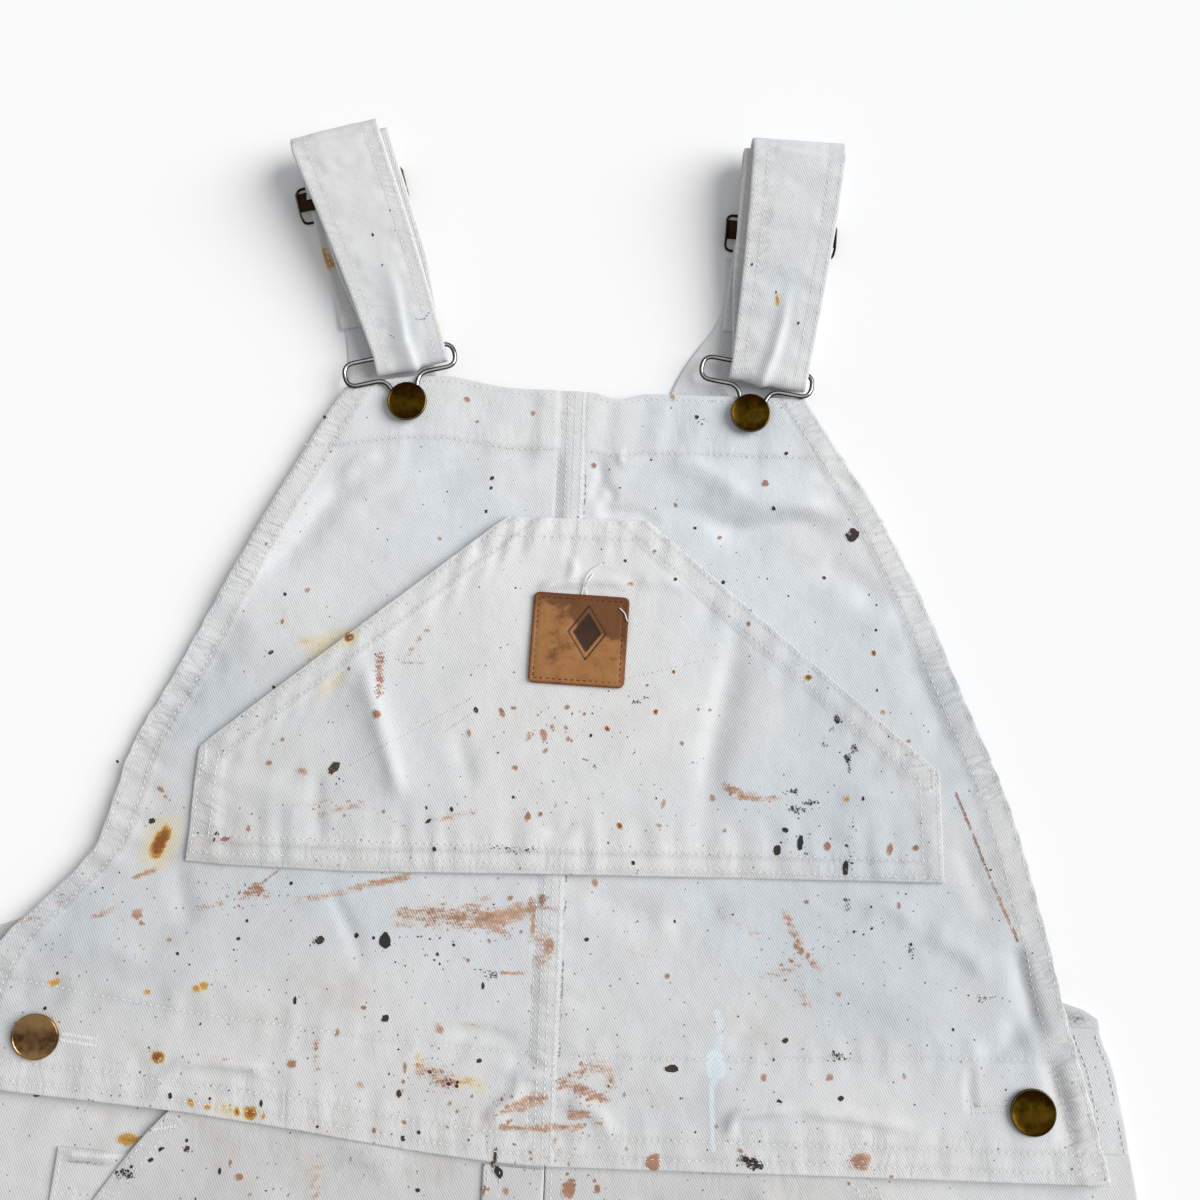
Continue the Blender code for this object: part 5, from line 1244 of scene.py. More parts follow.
def small_pocket():
    """Its top edge is rolled over, with a painted shadow below the roll and a painted highlight on it."""
    low, high = SMALL_POCKET["bottom"], SMALL_POCKET["top"]
    left = lambda y: small_pocket_side("left", y)
    right = lambda y: np.minimum(small_pocket_side("right", y), slant_x(-1, y) + FACING_LAP - 0.002)
    x, row, edge = panel_grid(left, right, low, high, 0.0006, 0.06)
    y = follow_waist(x, row)
    rolled = smooth((x + 0.2160) / 0.008) * smooth((slant_x(-1, row) - 0.001 - x) / 0.010)
    over = SMALL_POCKET_FLOOR + CLOTH + 0.0003 * band(edge, 0.010)
    over = over + 0.0019 * rolled * bell(row - high + 0.0014, 0.0012)
    # Painted shadow below the roll, and a painted highlight on it.
    painted_light = 1.7 * bell(row - high + 0.0036, 0.0005) - 0.45 * bell(row - high + 0.0016, 0.0010)
    dress("small_pocket", x, y, edge, over, SMALL_POCKET_FLOOR + 0 * x, shades(rolled * painted_light))


def fly_edge(y):
    """The placket's free edge, which runs in to the middle at its foot."""
    return -GAP - FLY["width"] * smooth((y - FLY["bottom"] + 0.006) / 0.035)


def fly_placket():
    x, row, edge = panel_grid(fly_edge, constant(-GAP), FLY["bottom"], FLY["top"], 0.0022, FLY["width"])
    y = follow_waist(x, row)
    under = leg_face(-1, x, y, row) + LAID_GAP
    over = under + CLOTH + puckers(row, edge, 0.012, 0.0003, 0.013, 64)
    dress("fly_placket", x, y, edge, over, under, None, LEG_LOT)


# ---- Bib --------------------------------------------------------------------------------------------------
def bib_half(side):
    name = side_name(side)
    wavy = lambda y: along(BIB_SIDES, name, y) + side * 0.00045 * ripples(y, 0.012, 27 + side)
    x, row, edge = panel_grid(wavy, constant(side * GAP / 2), 0.0, BIB_HEIGHT, 0.0020, 0.24)
    y = follow_top(x, follow_waist(x, row))
    from_side, from_top = np.abs(along(BIB_SIDES, name, row) - x), BIB_HEIGHT - row
    side_hem, top_hem = band(from_side, SIDE_HEM), band(from_top, TOP_HEM)
    over = bib_top(x, row) + bib_relief(x, y, row)
    under = bib_floor(x, row) - HEM_PLY * np.maximum(np.maximum(side_hem, top_hem), band(row, 0.012))
    facing = facing_line(x) - y
    line = 0.7 * soil(from_side - 0.0124, 0.0016) + 0.5 * soil(from_side - 0.0022) + 0.35 * soil(facing)
    line = line + 0.5 * soil(from_top - 0.030) + 0.45 * soil(row - 0.0050) + 0.45 * soil(row - 0.0130)
    beside = np.abs(x - seam_x(y)) - CENTRE_SEAM_WIDTH / 2
    drawn = np.maximum(side_hem, 0.3 * bell(np.clip(beside, 0, 1), 0.007))
    level = 0.2 * top_hem + 0.2 * bell(from_top - 0.030, 0.006)
    level = np.maximum(level, np.maximum(0.45 * band(row, 0.017, 0.004), 0.2 * bell(facing, 0.007)))
    sewn = shades(line, drawn, level * (1 - drawn))
    dress(f"bib_{name}", x, y, edge, over, np.minimum(under, over - 0.0009), sewn)


def centre_seam():
    """The felled seam, with a thin lip along its right edge and a painted shadow line under it."""
    lip_width = 0.0009
    half = CENTRE_SEAM_WIDTH / 2
    left = lambda y: seam_x(y) - half
    right = lambda y: seam_x(y) + half + lip_width
    x, row, edge = panel_grid(left, right, 2 * GAP, BIB_HEIGHT - GAP, 0.0013, CENTRE_SEAM_WIDTH + lip_width)
    y = follow_top(x, row)
    off = x - seam_x(y)
    lip = smooth((off - half + 0.0003) / 0.0004)
    over = seam_face(x, y) - 0.0009 * lip
    under = over - (CENTRE_SEAM_PLY + 0.0003) * (1 - 0.6 * lip)
    # Painted shadow along the lip, and soil along the rows of stitches.
    line = 2.4 * lip + sum(0.45 * soil(off - offset, 0.0007) for offset in SEAM_ROWS)
    dress("centre_seam", x, y, edge, over, under, shades(line, 0.6 * (1 - lip)))


def bib_pocket():
    half = lambda y: np.interp(y, *zip(*POCKET_ROWS))
    left, right = lambda y: POCKET_X - half(y), lambda y: POCKET_X + half(y)
    foot = POCKET_ROWS[0].y
    x, y, edge = panel_grid(left, right, foot, POCKET_TOP, 0.0019, 0.30)
    y = y - sag(x) * (1 - smooth((y - foot) / 0.034))
    over = pocket_face(x, y)
    sides, bottom, top, slope = pocket_edges(x, y)
    hems = band(np.minimum(np.minimum(sides, bottom), np.minimum(top, slope)), POCKET_HEM)
    inset = np.minimum(np.minimum(sides, bottom), slope)
    line = 0.5 * soil(inset - 0.0022) + 0.6 * soil(inset - 0.0098) + 0.4 * soil(top - 0.0098)
    mouth = 0.35 * band(slope, 0.0125)
    drawn = np.maximum(0.8 * band(sides, 0.0145), mouth)
    level = np.maximum(0.4 * band(bottom, 0.0150), np.maximum(0.4 * band(top, 0.0125), mouth))
    sewn = shades(line, drawn, level * (1 - 0.5 * drawn))
    dress("bib_pocket", x, y, edge, over, over - CLOTH - HEM_PLY * hems, sewn, POCKET_LOT)


for side in (-1, 1):
    for piece in (back_leg, back_bib, side_placket, hip_facing, front_leg):
        piece(side)
small_pocket()
fly_placket()
bib_half(-1)
bib_half(1)
centre_seam()
bib_pocket()

# ---- Straps -----------------------------------------------------------------------------------------------
def across(lean):
    return np.array([math.cos(math.radians(lean)), math.sin(math.radians(lean)), 0.0])


def upward(lean):
    return np.array([-math.sin(math.radians(lean)), math.cos(math.radians(lean)), 0.0])


Station = namedtuple("Station", "middle lean width pucker")


def strap_path(side):
    """The middle line of a strap, as in its solid but with closer stations."""
    strap = STRAPS[side]
    rear_height = FLAT_PLY + STRAP_PLY / 2
    bar = np.array([*strap.button, 0.0]) + upward(strap.hook_lean) * HOOK_BAR
    fold = np.array([*strap.fold, 0.0])
    inward = -side * strap.return_shift
    at_bar = bar + across(strap.hook_lean) * strap.bar_shift
    path = []
    for rear in REAR_STRAPS[side]:
        path.append(Station(np.array([rear.x, rear.y, rear_height]), rear.lean, STRAP_WIDTH, 0))

    def turn(centre, axis_height, radius, start, end, lean, width, shift, pucker=0.0, reach=0.0):
        for angle in np.radians(np.linspace(start, end, 25)):
            middle = centre + upward(lean) * (reach or radius) * math.cos(angle) + across(lean) * shift
            middle[2] = axis_height + radius * math.sin(angle)
            path.append(Station(middle, lean, width, pucker * max(math.sin(angle), 0.0)))

    outer = (FOLD_TOP - rear_height) / 2
    turn(fold, rear_height + outer, outer, -90, 90, strap.fold_lean, strap.fold_width, 0)
    top_at_bar = HOOK_HEIGHT + WRAP_RADIUS
    for t in np.linspace(0, 1, 33)[1:-1]:
        middle = fold + (at_bar - fold) * t + across(strap.fold_lean) * strap.bow * math.sin(math.pi * t)
        middle[2] = FOLD_TOP + (top_at_bar - FOLD_TOP) * float(smooth(t * 0.9 + 0.05))
        lean = strap.fold_lean + (strap.hook_lean - strap.fold_lean) * t
        width = strap.fold_width + (strap.bar_width - strap.fold_width) * t
        path.append(Station(middle, lean, width, 0.0028 * float(smooth(2 * t - 0.6))))
    turn(at_bar, HOOK_HEIGHT, WRAP_RADIUS, 90, 270, strap.hook_lean, strap.bar_width, 0, 0.0026, WRAP_REACH)
    inner_top = FOLD_TOP - RETURN_DROP
    under_bar = HOOK_HEIGHT - WRAP_RADIUS
    for t in np.linspace(0, 1, 25)[1:-1]:
        lean = strap.hook_lean + (strap.fold_lean - strap.hook_lean) * t
        middle = at_bar + (fold - at_bar) * t + across(lean) * inward * t
        middle[2] = under_bar + (inner_top - under_bar) * float(smooth(t * 0.9 + 0.05))
        width = strap.bar_width + (STRAP_WIDTH - strap.bar_width) * float(smooth(2 * t))
        path.append(Station(middle, lean, width, 0))
    inner = (inner_top - TAIL_HEIGHT) / 2
    turn(fold, TAIL_HEIGHT + inner, inner, 90, -90, strap.fold_lean, STRAP_WIDTH, inward)
    slide = np.array([*strap.slide, TAIL_HEIGHT])
    path.append(Station(slide, strap.slide_lean, STRAP_WIDTH, 0))
    return path


# Gathers above a hook: distance up from the bar, and where across the strap, from -0.5 to 0.5.
Gather = namedtuple("Gather", "up across height left right")
GATHERS = {
    -1: (
        Gather(0.000, 0.050, 0.0026, 0.20, 0.045), Gather(0.012, 0.000, 0.0024, 0.16, 0.045),
        Gather(0.030, 0.055, 0.0016, 0.13, 0.055), Gather(0.057, 0.110, 0.0000, 0.10, 0.080),
    ),
    1: (
        Gather(0.000, -0.070, 0.0024, 0.10, 0.070), Gather(0.015, 0.020, 0.0023, 0.085, 0.060),
        Gather(0.030, 0.065, 0.0018, 0.085, 0.050), Gather(0.050, 0.060, 0.0000, 0.080, 0.060),
    ),
}

# Creases of a strap's front, by how far across it and down from its fold.
STRAP_CREASES = {
    -1: crease_table(
        (1.4, -0.5, 1, -19, 1, -11, 3, -1, 5.8, 7.9, 4, 14.5, 2.2),
        (2.2, -0.5, 1, -7.5, 21.7, -2.2, 30, 6.1, 27.7, 12.5, 25.2),
        (1.4, -0.4, 1, -21.5, 9, -15, 10.2, -9, 9.5), (1.4, -0.4, 1, -21.5, 15.8, -14, 16.6, -8, 16),
        (1.3, -0.4, 1, -21, 22.2, -15, 21.6), (1.5, -0.4, 1, -21.5, 30, -15, 30.8, -9, 29.8),
        (1.4, -0.3, 1, -21, 37.5, -14, 36.8), (1.4, -0.4, 1, 12, 17.2, 17.5, 16.6, 21.5, 15),
        (1.4, -0.4, 1, 12, 26.2, 18, 25.2, 21.5, 24), (1.6, -0.3, 1, 13, 48, 20, 46.8),
    ),
    1: crease_table(
        (1.4, -0.4, 1, -20, 6, -12, 7.8, -3, 6.8, 6, 8.2, 18, 6.6),
        (1.4, -0.4, 1, -21.5, 14, -15, 15.2, -9, 14.4), (1.4, -0.4, 1, 10, 16.8, 16, 15.8, 21.5, 16.4),
        (1.4, -0.3, 1, -21.5, 25.5, -14.5, 26.2), (1.4, -0.4, 1, 11, 30, 17, 29, 21.5, 29.6),
        (2.4, -0.4, 1, -6, 24, 1, 32, 8, 29),
    ),
}


def resampled(path, cell):
    """Evenly spaced middle, lean, width along a strap's path, with the distance of each station."""
    middle = np.array([station.middle for station in path])
    length = np.concatenate([[0], np.cumsum(np.linalg.norm(np.diff(middle, axis=0), axis=1))])
    s = spaced(length[-1], cell)
    pick = lambda values: np.interp(s, length, values)
    lean, width = pick([station.lean for station in path]), pick([station.width for station in path])
    return s, np.stack([pick(middle[:, k]) for k in range(3)], 1), lean, width


class StrapSurface:
    """A strap's outer and inner faces, by distance along it and share across it."""

    def __init__(self, side):
        self.side = side
        self.s, self.middle, self.lean, self.width = resampled(strap_path(side), 0.0012)
        tangent = np.gradient(self.middle, self.s, axis=0)
        wide = np.array([across(lean) for lean in self.lean])
        normal = np.cross(tangent, wide)
        self.normal = normal / np.linalg.norm(normal, axis=1)[:, None]
        self.wide = wide
        self.top = self.s[np.argmax(self.middle[:, 1])]
        low = np.abs(self.s - self.top) > 0.02
        self.bar = self.s[low][np.argmin(self.middle[low, 1] + 9 * (self.s[low] < self.top))]
        self.length = self.s[-1]

    def relief(self, s, v):
        side = self.side
        front = smooth((s - self.top - 0.004) / 0.010) * (1 - smooth((s - self.bar + 0.001) / 0.004))
        margin = smooth((np.abs(v) - 0.20) / 0.12)
        total = 0.00042 * margin * ripples(s + 0.002 * np.sign(v), 0.0125, 71 + side)
        total = total + 0.00030 * margin * ripples(s + 0.7, 0.0070, 74 + side)
        total = total + 0.00050 * (1 - margin) * ripples(s + 0.10 * side * v * 0.04, 0.026, 77 + side)
        total = total + 0.00028 * unevenness(s, v * 0.045, 0.011, 80 + side)
        below_fold = bell(s - self.top - 0.0135 - 0.003 * v, 0.0016)
        total = total - 0.0010 * below_fold * (0.6 + 0.4 * np.cos(7 * v))
        total = total + front * creases(STRAP_CREASES[side], v * STRAP_WIDTH, s - self.top) / CREASE_DEPTH
        gathers = GATHERS[side]
        up, ups = np.clip(self.bar - s, 0, 1), [gather.up for gather in gathers]
        read = lambda name: np.interp(up, ups, [getattr(gather, name) for gather in gathers])
        off = v - read("across")
        width = np.where(off > 0, read("right"), read("left"))
        return total * (0.35 + 0.65 * front) + front * read("height") * bell(off, width)

    def point(self, s, v, outer=True, round_off=1.0, lift=0.0):
        """Points on the face that is outermost over the shoulder."""
        s = np.asarray(s, float)
        pick = lambda values: np.interp(s, self.s, values)
        each = lambda rows: np.stack([pick(rows[:, k]) for k in range(3)], -1)
        middle, wide, normal = each(self.middle), each(self.wide), each(self.normal)
        half = STRAP_PLY / 2 * round_off
        height = self.relief(s, v) + (half + lift if outer else -half)
        where = middle + (wide * (pick(self.width) * v)[..., None] + normal * height[..., None])
        where[..., 1] += WAIST_Y
        return where

    def cloth(self, s, across_strap):
        """Where a point lies on the strap's own piece of drill, which is cut beside the garment's."""
        return across_strap + self.side * 0.9, 0.8 - s


def stain_strap(surface, s, points):
    """What was spilt on the straps: one smear on the rear run, one at the hook."""
    total = np.zeros(s.shape + (4,))
    x, y = points[..., 0], points[..., 1] - WAIST_Y
    rear = s < surface.top - 0.006
    total[..., 1] = strokes(REAR_SMEARS, x, y) * rear + strokes(STRAP_SMEARS, x, y) * ~rear
    return total


def strap_cloth(side):
    name = side_name(side)
    surface = StrapSurface(side)
    v = spaced(STRAP_WIDTH, 0.0012) / STRAP_WIDTH - 0.5
    s, v = np.meshgrid(surface.s, v, indexing="ij")
    edge = np.minimum((0.5 - np.abs(v)) * STRAP_WIDTH, np.minimum(s, surface.length - s))
    round_off = rounding(edge, 0.0011)
    outer = surface.point(s, v, True, round_off)
    inner = surface.point(s, v, False, round_off)
    margin = smooth((np.abs(v) - 0.22) / 0.10)
    line = sum(0.35 * soil((np.abs(v) - share) * STRAP_WIDTH) for share in (0.335, 0.455))
    layers = {"stain": stain_strap(surface, s, outer), "sewn": shades(line, 0.3 + 0.5 * margin)}
    where = stacked(*surface.cloth(s, v * STRAP_WIDTH), STRAP_LOT)
    declare(f"strap_{name}", outer, inner, where, layers)
    return surface


STRAP_SURFACES = {side: strap_cloth(side) for side in (-1, 1)}


# ---- Ground -----------------------------------------------------------------------------------------------
def leg_row(x, y):
    """The row of a leg that ends at a true y, before it followed the waist seam."""
    row = np.array(y, float)
    for _ in range(4):
        row = row + (y - follow_waist(x, row))
    return row


def ground(x, y):
    """The top of the uppermost cloth of the front."""
    x, y = np.broadcast_arrays(np.asarray(x, float), np.asarray(y, float))
    on_seam = np.abs(x - seam_x(y)) < CENTRE_SEAM_WIDTH / 2
    top = np.where(on_seam, seam_face(x, y), bib_face(x, y))
    top = np.where(on_pocket(x, y), pocket_face(x, y), top)
    row = leg_row(x, y)
    small = SMALL_POCKET
    on_small = (x > small["left"]) & (row < small["top"]) & (row > small["bottom"])
    for side in (-1, 1):
        below = (y < follow_waist(x, 0 * y)) & (x * side > 0)
        leg = leg_face(side, x, y, row)
        facing = facing_face(x, y)
        behind = (row > SLANTS[side].side_y) & (x * side > slant_x(side, row) * side)
        facing = np.where(on_small & (side < 0), SMALL_POCKET_FLOOR + CLOTH + 0.0003, facing)
        leg = np.where(behind, facing, leg)
        on_fly = (side < 0) & (x > -FLY["width"]) & (row > FLY["bottom"] + 0.02)
        leg = np.where(on_fly, leg + CLOTH + LAID_GAP, leg)
        top = np.where(below, leg, top)
    return top


# ---- Spots ------------------------------------------------------------------------------------------------
SPOT_LIFT = 0.00012


class Spots:
    """Spots of paint gathered into one mesh, each a soft-edged island laid on the cloth."""

    def __init__(self, channel, seed):
        self.channel = channel
        self.draw = np.random.default_rng(seed)
        self.flat, self.amount, self.faces, self.count = [], [], [], 0

    def add(self, x, y, wide, high, lean=0.0, strength=1.0):
        if max(wide, high) < 0.0008:
            around, shares, amounts = 8, (0.55, 1.0), (0.95, 0.0)
        else:
            around, shares, amounts = 14, (0.34, 0.62, 0.82, 1.0), (1.25, 1.05, 0.85, 0.0)
        angle = np.arange(around) * 2 * math.pi / around
        wobble = 1 + 0.16 * self.draw.uniform(-1, 1, around)
        wobble = wobble + 0.10 * np.sin(2 * angle + self.draw.uniform(0, 6))
        cos, sin = math.cos(math.radians(lean)), math.sin(math.radians(lean))
        points, levels = [(x, y)], [1.3 * strength]
        for share, amount in zip(shares, amounts):
            u, v = wide * share * wobble * np.cos(angle), high * share * wobble * np.sin(angle)
            points += list(zip(x + u * cos - v * sin, y + u * sin + v * cos))
            levels += [amount * strength] * around
        base = self.count
        for k in range(around):
            after = (k + 1) % around
            self.faces.append((base, base + 1 + k, base + 1 + after))
            for ring in range(len(shares) - 1):
                a, b = base + 1 + ring * around + k, base + 1 + ring * around + after
                self.faces.append((a, a + around, b + around))
                self.faces.append((a, b + around, b))
        self.flat += points
        self.amount += levels
        self.count += len(points)

    def group(self, group):
        """Small spots thrown round one place, most of them tiny."""
        for _ in range(group.count):
            u, v = self.draw.normal(0, 0.45, 2)
            size = group.largest * (0.25 + 0.75 * self.draw.uniform() ** 2.2) * 0.001
            stretch = self.draw.uniform(0.75, 1.35)
            x, y = group.x + u * group.wide * 0.001, group.y + v * group.high * 0.001
            self.add(x, y, size, size * stretch, self.draw.uniform(-40, 40))

    def streak(self, streak):
        length = math.dist(streak.start, streak.end)
        for t in np.linspace(0, 1, int(length / streak.step) + 1):
            if self.draw.uniform() < 0.12:
                continue
            x = streak.start[0] + (streak.end[0] - streak.start[0]) * t + self.draw.normal(0, 0.00012)
            y = streak.start[1] + (streak.end[1] - streak.start[1]) * t
            size = streak.wide * 0.001 * self.draw.uniform(0.6, 1.2)
            self.add(x, y, size, size * 1.6, 20)

    def sprayed(self, count, low, high, sizes, thicker=None):
        """Spots scattered over a stretch of the front, kept where its cloth lies."""
        for _ in range(count):
            y = self.draw.uniform(low, high)
            side = self.draw.choice((-1, 1))
            edge = along(BIB_SIDES, side_name(side), y) if y > 0 else along(SILHOUETTE, side_name(side), y)
            inner = along(INSEAMS, side_name(side), y) if y < CROTCH_Y else 0
            x = inner + (edge - inner) * self.draw.uniform(0.02, 0.96)
            if thicker and self.draw.uniform() > thicker(x, y):
                continue
            size = (sizes[0] + (sizes[1] - sizes[0]) * self.draw.uniform() ** 3) * 0.001
            self.add(x, y, size, size * self.draw.uniform(0.8, 1.4), self.draw.uniform(-30, 30))

    def lay(self, name, surface=None):
        """On the front, or on a strap where x runs across it and y along it."""
        x, y = np.array(self.flat).T
        if surface:
            points = surface.point(y, x / STRAP_WIDTH, lift=SPOT_LIFT)
            x, y = surface.cloth(y, x)
            lot = STRAP_LOT
        else:
            points = placed(x, y, ground(x, y) + SPOT_LIFT)
            lot = np.where(y < follow_waist(x, 0 * y), LEG_LOT, on_pocket(x, y) * POCKET_LOT)
        piece = build(name, points, self.faces, COTTON)
        add_layer(piece, "cloth", stacked(x, y, lot))
        amounts = stain_field(x, y)
        amounts[:, self.channel] = np.maximum(amounts[:, self.channel], self.amount)
        add_layer(piece, "stain", amounts)


GROWN = 1.18 * 0.001  # a spot's drawn edge lies inside its mesh; table sizes are in millimetres


def denser_low_left(x, y):
    return 0.25 + 0.75 * float(smooth((0.16 - y) / 0.16)) * (1.0 if x < 0.03 else 0.55)


def dot_strap(side):
    surface = STRAP_SURFACES[side]
    dots = Spots(2, 110 + side)
    front = np.flatnonzero((surface.s > surface.top) & (surface.s < surface.bar))
    for spot in STRAP_DOTS[side]:
        near = front[np.argmin(np.abs(surface.middle[front, 1] - spot.y))]
        over = (spot.x - surface.middle[near, 0]) / surface.wide[near][0]
        dots.add(over, surface.s[near], spot.wide * GROWN, spot.high * GROWN)
    dots.lay(f"spots_strap_{side_name(side)}", surface)


def spatter_front():
    rust, ochre, dark = Spots(0, 101), Spots(1, 102), Spots(2, 103)
    for spots, placed_spots in ((rust, RUST_SPOTS), (ochre, OCHRE_SPOTS), (dark, DARK_SPOTS)):
        for spot in placed_spots:
            spots.add(spot.x, spot.y, spot.wide * GROWN, spot.high * GROWN, spot.lean, spot.strength)
    for spots, groups in ((rust, RUST_GROUPS), (dark, DARK_GROUPS)):
        for group in groups:
            spots.group(group)
    for streak in RUST_STREAKS:
        rust.streak(streak)
    rust.sprayed(150, 0.005, 0.34, (0.35, 1.1), denser_low_left)
    dark.sprayed(900, 0.005, 0.352, (0.22, 0.70), denser_low_left)
    rust.sprayed(260, HEM_Y + 0.03, -0.01, (0.6, 4.0))
    dark.sprayed(360, HEM_Y + 0.03, -0.01, (0.4, 2.6))
    ochre.sprayed(26, HEM_Y + 0.03, -0.05, (1.0, 3.6))
    rust.lay("spots_rust")
    ochre.lay("spots_ochre")
    dark.lay("spots_dark")


dot_strap(-1)
dot_strap(1)
spatter_front()


# ---- Stitches ---------------------------------------------------------------------------------------------
STITCH_PITCH = 0.0031
STITCH_HALF = 0.00030
STITCH_RISE = 0.00022


class Sewing:
    """Rows of stitches gathered into one mesh, each a small roof that dips into the cloth at both ends."""

    def __init__(self, name, material=None):
        self.name, self.material = name, material or THREAD
        self.points, self.count = [], 0
        self.draw = np.random.default_rng(len(name) * 7)

    def stitches(self, start, end, lift, wide, half=STITCH_HALF):
        """Start and end points, the way up and the way across of each stitch."""
        middle = (start + end) / 2
        quarter = [start * 0.72 + end * 0.28, start * 0.28 + end * 0.72]
        rows = [start - lift * 0.00012]
        for at in quarter:
            rows += [at - wide * half, at + lift * STITCH_RISE, at + wide * half]
        rows.append(end - lift * 0.00012)
        self.points.append(np.stack(rows, axis=1))
        self.count += len(middle)

    def row(self, x, y, face, pitch=STITCH_PITCH, gaps=0.0):
        """A row along a line on a face of the front."""
        x, y = np.asarray(x, float), np.asarray(y, float)
        run = np.concatenate([[0], np.cumsum(np.hypot(np.diff(x), np.diff(y)))])
        count = max(2, int(run[-1] / pitch))
        starts = np.arange(count) * run[-1] / count + self.draw.normal(0, 0.00012, count)
        kept = self.draw.uniform(size=count) >= gaps
        starts = starts[kept]
        ends = starts + pitch * 0.74
        at = lambda s: (np.interp(s, run, x), np.interp(s, run, y))
        (ax, ay), (bx, by) = at(starts), at(ends)
        start, end = placed(ax, ay, face(ax, ay)), placed(bx, by, face(bx, by))
        ahead = end - start
        ahead /= np.linalg.norm(ahead, axis=1)[:, None]
        lift = np.tile([0.0, 0.0, 1.0], (len(start), 1))
        wide = np.cross(ahead, lift)
        self.stitches(start, end, lift, wide)

    def tack(self, x, y, lean, length, width, face, count=12):
        """A bar tack: short stitches side by side."""
        u = np.array([math.cos(math.radians(lean)), math.sin(math.radians(lean))])
        v = np.array([-u[1], u[0]])
        shares = np.linspace(-0.5, 0.5, count)
        low = np.array([x, y]) + np.outer(shares * length, u) - v * width / 2
        high = low + v * width + self.draw.normal(0, 0.0002, low.shape)
        start = placed(low[:, 0], low[:, 1], face(low[:, 0], low[:, 1]))
        end = placed(high[:, 0], high[:, 1], face(high[:, 0], high[:, 1]))
        lift = np.tile([0.0, 0.0, 1.0], (count, 1))
        self.stitches(start, end, lift, np.tile([*u, 0.0], (count, 1)), 0.00026)

    def sew(self):
        points = np.concatenate(self.points).reshape(-1, 3)
        roof = np.array([
            (0, 1, 2), (0, 2, 3), (0, 3, 1), (1, 4, 5), (1, 5, 2), (2, 5, 6), (2, 6, 3), (3, 6, 4), (3, 4, 1),
            (7, 5, 4), (7, 6, 5), (7, 4, 6),
        ])
        faces = (roof[None] + 8 * np.arange(self.count)[:, None, None]).reshape(-1, 3)
        build(self.name, points, faces.tolist(), self.material)


def bib_line(x, row):
    """A line of the bib, given before the waist seam and the top edge bend it."""
    x, row = np.broadcast_arrays(np.asarray(x, float), np.asarray(row, float))
    return x, follow_top(x, follow_waist(x, row))


def bib_stitches():
    sewing = Sewing("stitches_bib")
    beside_seam = 0.0085
    rows = np.linspace(0.004, BIB_HEIGHT - 0.003, 90)
    for side in (-1, 1):
        edge = along(BIB_SIDES, side_name(side), rows)
        for inset in (0.0022, 0.0118):
            sewing.row(*bib_line(edge - side * inset, rows), bib_face)
    xs = np.linspace(-0.1080, 0.1080, 60)
    for side in (-1, 1):
        sewing.row(*bib_line(xs[xs * side > beside_seam], BIB_HEIGHT - 0.0028), bib_face)
        part = np.linspace(side * beside_seam, side * 0.131, 40)
        sewing.row(*bib_line(part, BIB_HEIGHT - 0.0300), bib_face)
        end = along(BIB_SIDES, side_name(side), 0.01) - side * 0.004
        for row in (0.0050, 0.0130):
            sewing.row(*bib_line(np.linspace(side * beside_seam, end, 60), row), bib_face)
        end = along(BIB_SIDES, side_name(side), 0.06) - side * 0.016
        part = np.linspace(side * beside_seam, end, 60)
        sewing.row(part, facing_line(part), bib_face)
    for offset in SEAM_ROWS:
        for low, high in ((0.0020, 0.1280), (0.2935, BIB_HEIGHT - 0.0015)):
            line = np.linspace(low, high, 60)
            sewing.row(seam_x(line) + offset, line, seam_face, 0.0027)
    buttonholes(sewing)
    sewing.sew()


def buttonholes(sewing):
    """A slit between two rows of close stitches, running out from each side button."""
    for side, lean in ((-1, -6), (1, 4)):
        at = np.array(SIDE_BUTTONS[side]) - side * np.array([0.0185, -0.0010])
        for k in (-1, 1):
            sewing.tack(*(at + k * upward(lean)[:2] * 0.0014), lean, 0.0150, 0.0022, bib_face, 26)
        sewing.tack(*(at - side * np.array([0.0080, 0.0])), lean + 90, 0.0050, 0.0016, bib_face, 8)


def pocket_stitches():
    sewing = Sewing("stitches_pocket")
    low, shoulder, high = POCKET_ROWS
    rise, run = high.y - shoulder.y, shoulder.half - high.half
    for inset in (0.0022, 0.0098):
        for side in (-1, 1):
            line = np.linspace(low.y + inset, shoulder.y - 0.0005, 30)
            half = np.interp(line, [low.y, shoulder.y], [low.half, shoulder.half])
            sewing.row(POCKET_X + side * (half - inset), line, pocket_face)
            line = np.linspace(0, 1, 70)
            slant = POCKET_X + side * (shoulder.half + (high.half - shoulder.half) * line)
            level = shoulder.y + rise * line - inset / math.cos(math.atan2(rise, run))
            sides, _, top, _ = pocket_edges(slant, level)
            inside = (sides > 0.0015) & (top > 0.0015)
            sewing.row(slant[inside], level[inside], pocket_face)
        line = np.linspace(-1, 1, 90)
        sewing.row(POCKET_X + line * (low.half - 0.0022), low.y + inset + 0 * line, pocket_face)
        sewing.row(POCKET_X + line * (high.half - inset * 0.5), high.y - inset + 0 * line, pocket_face)
    for side in (-1, 1):
        mouth_tacks(sewing, side)
    sewing.sew()


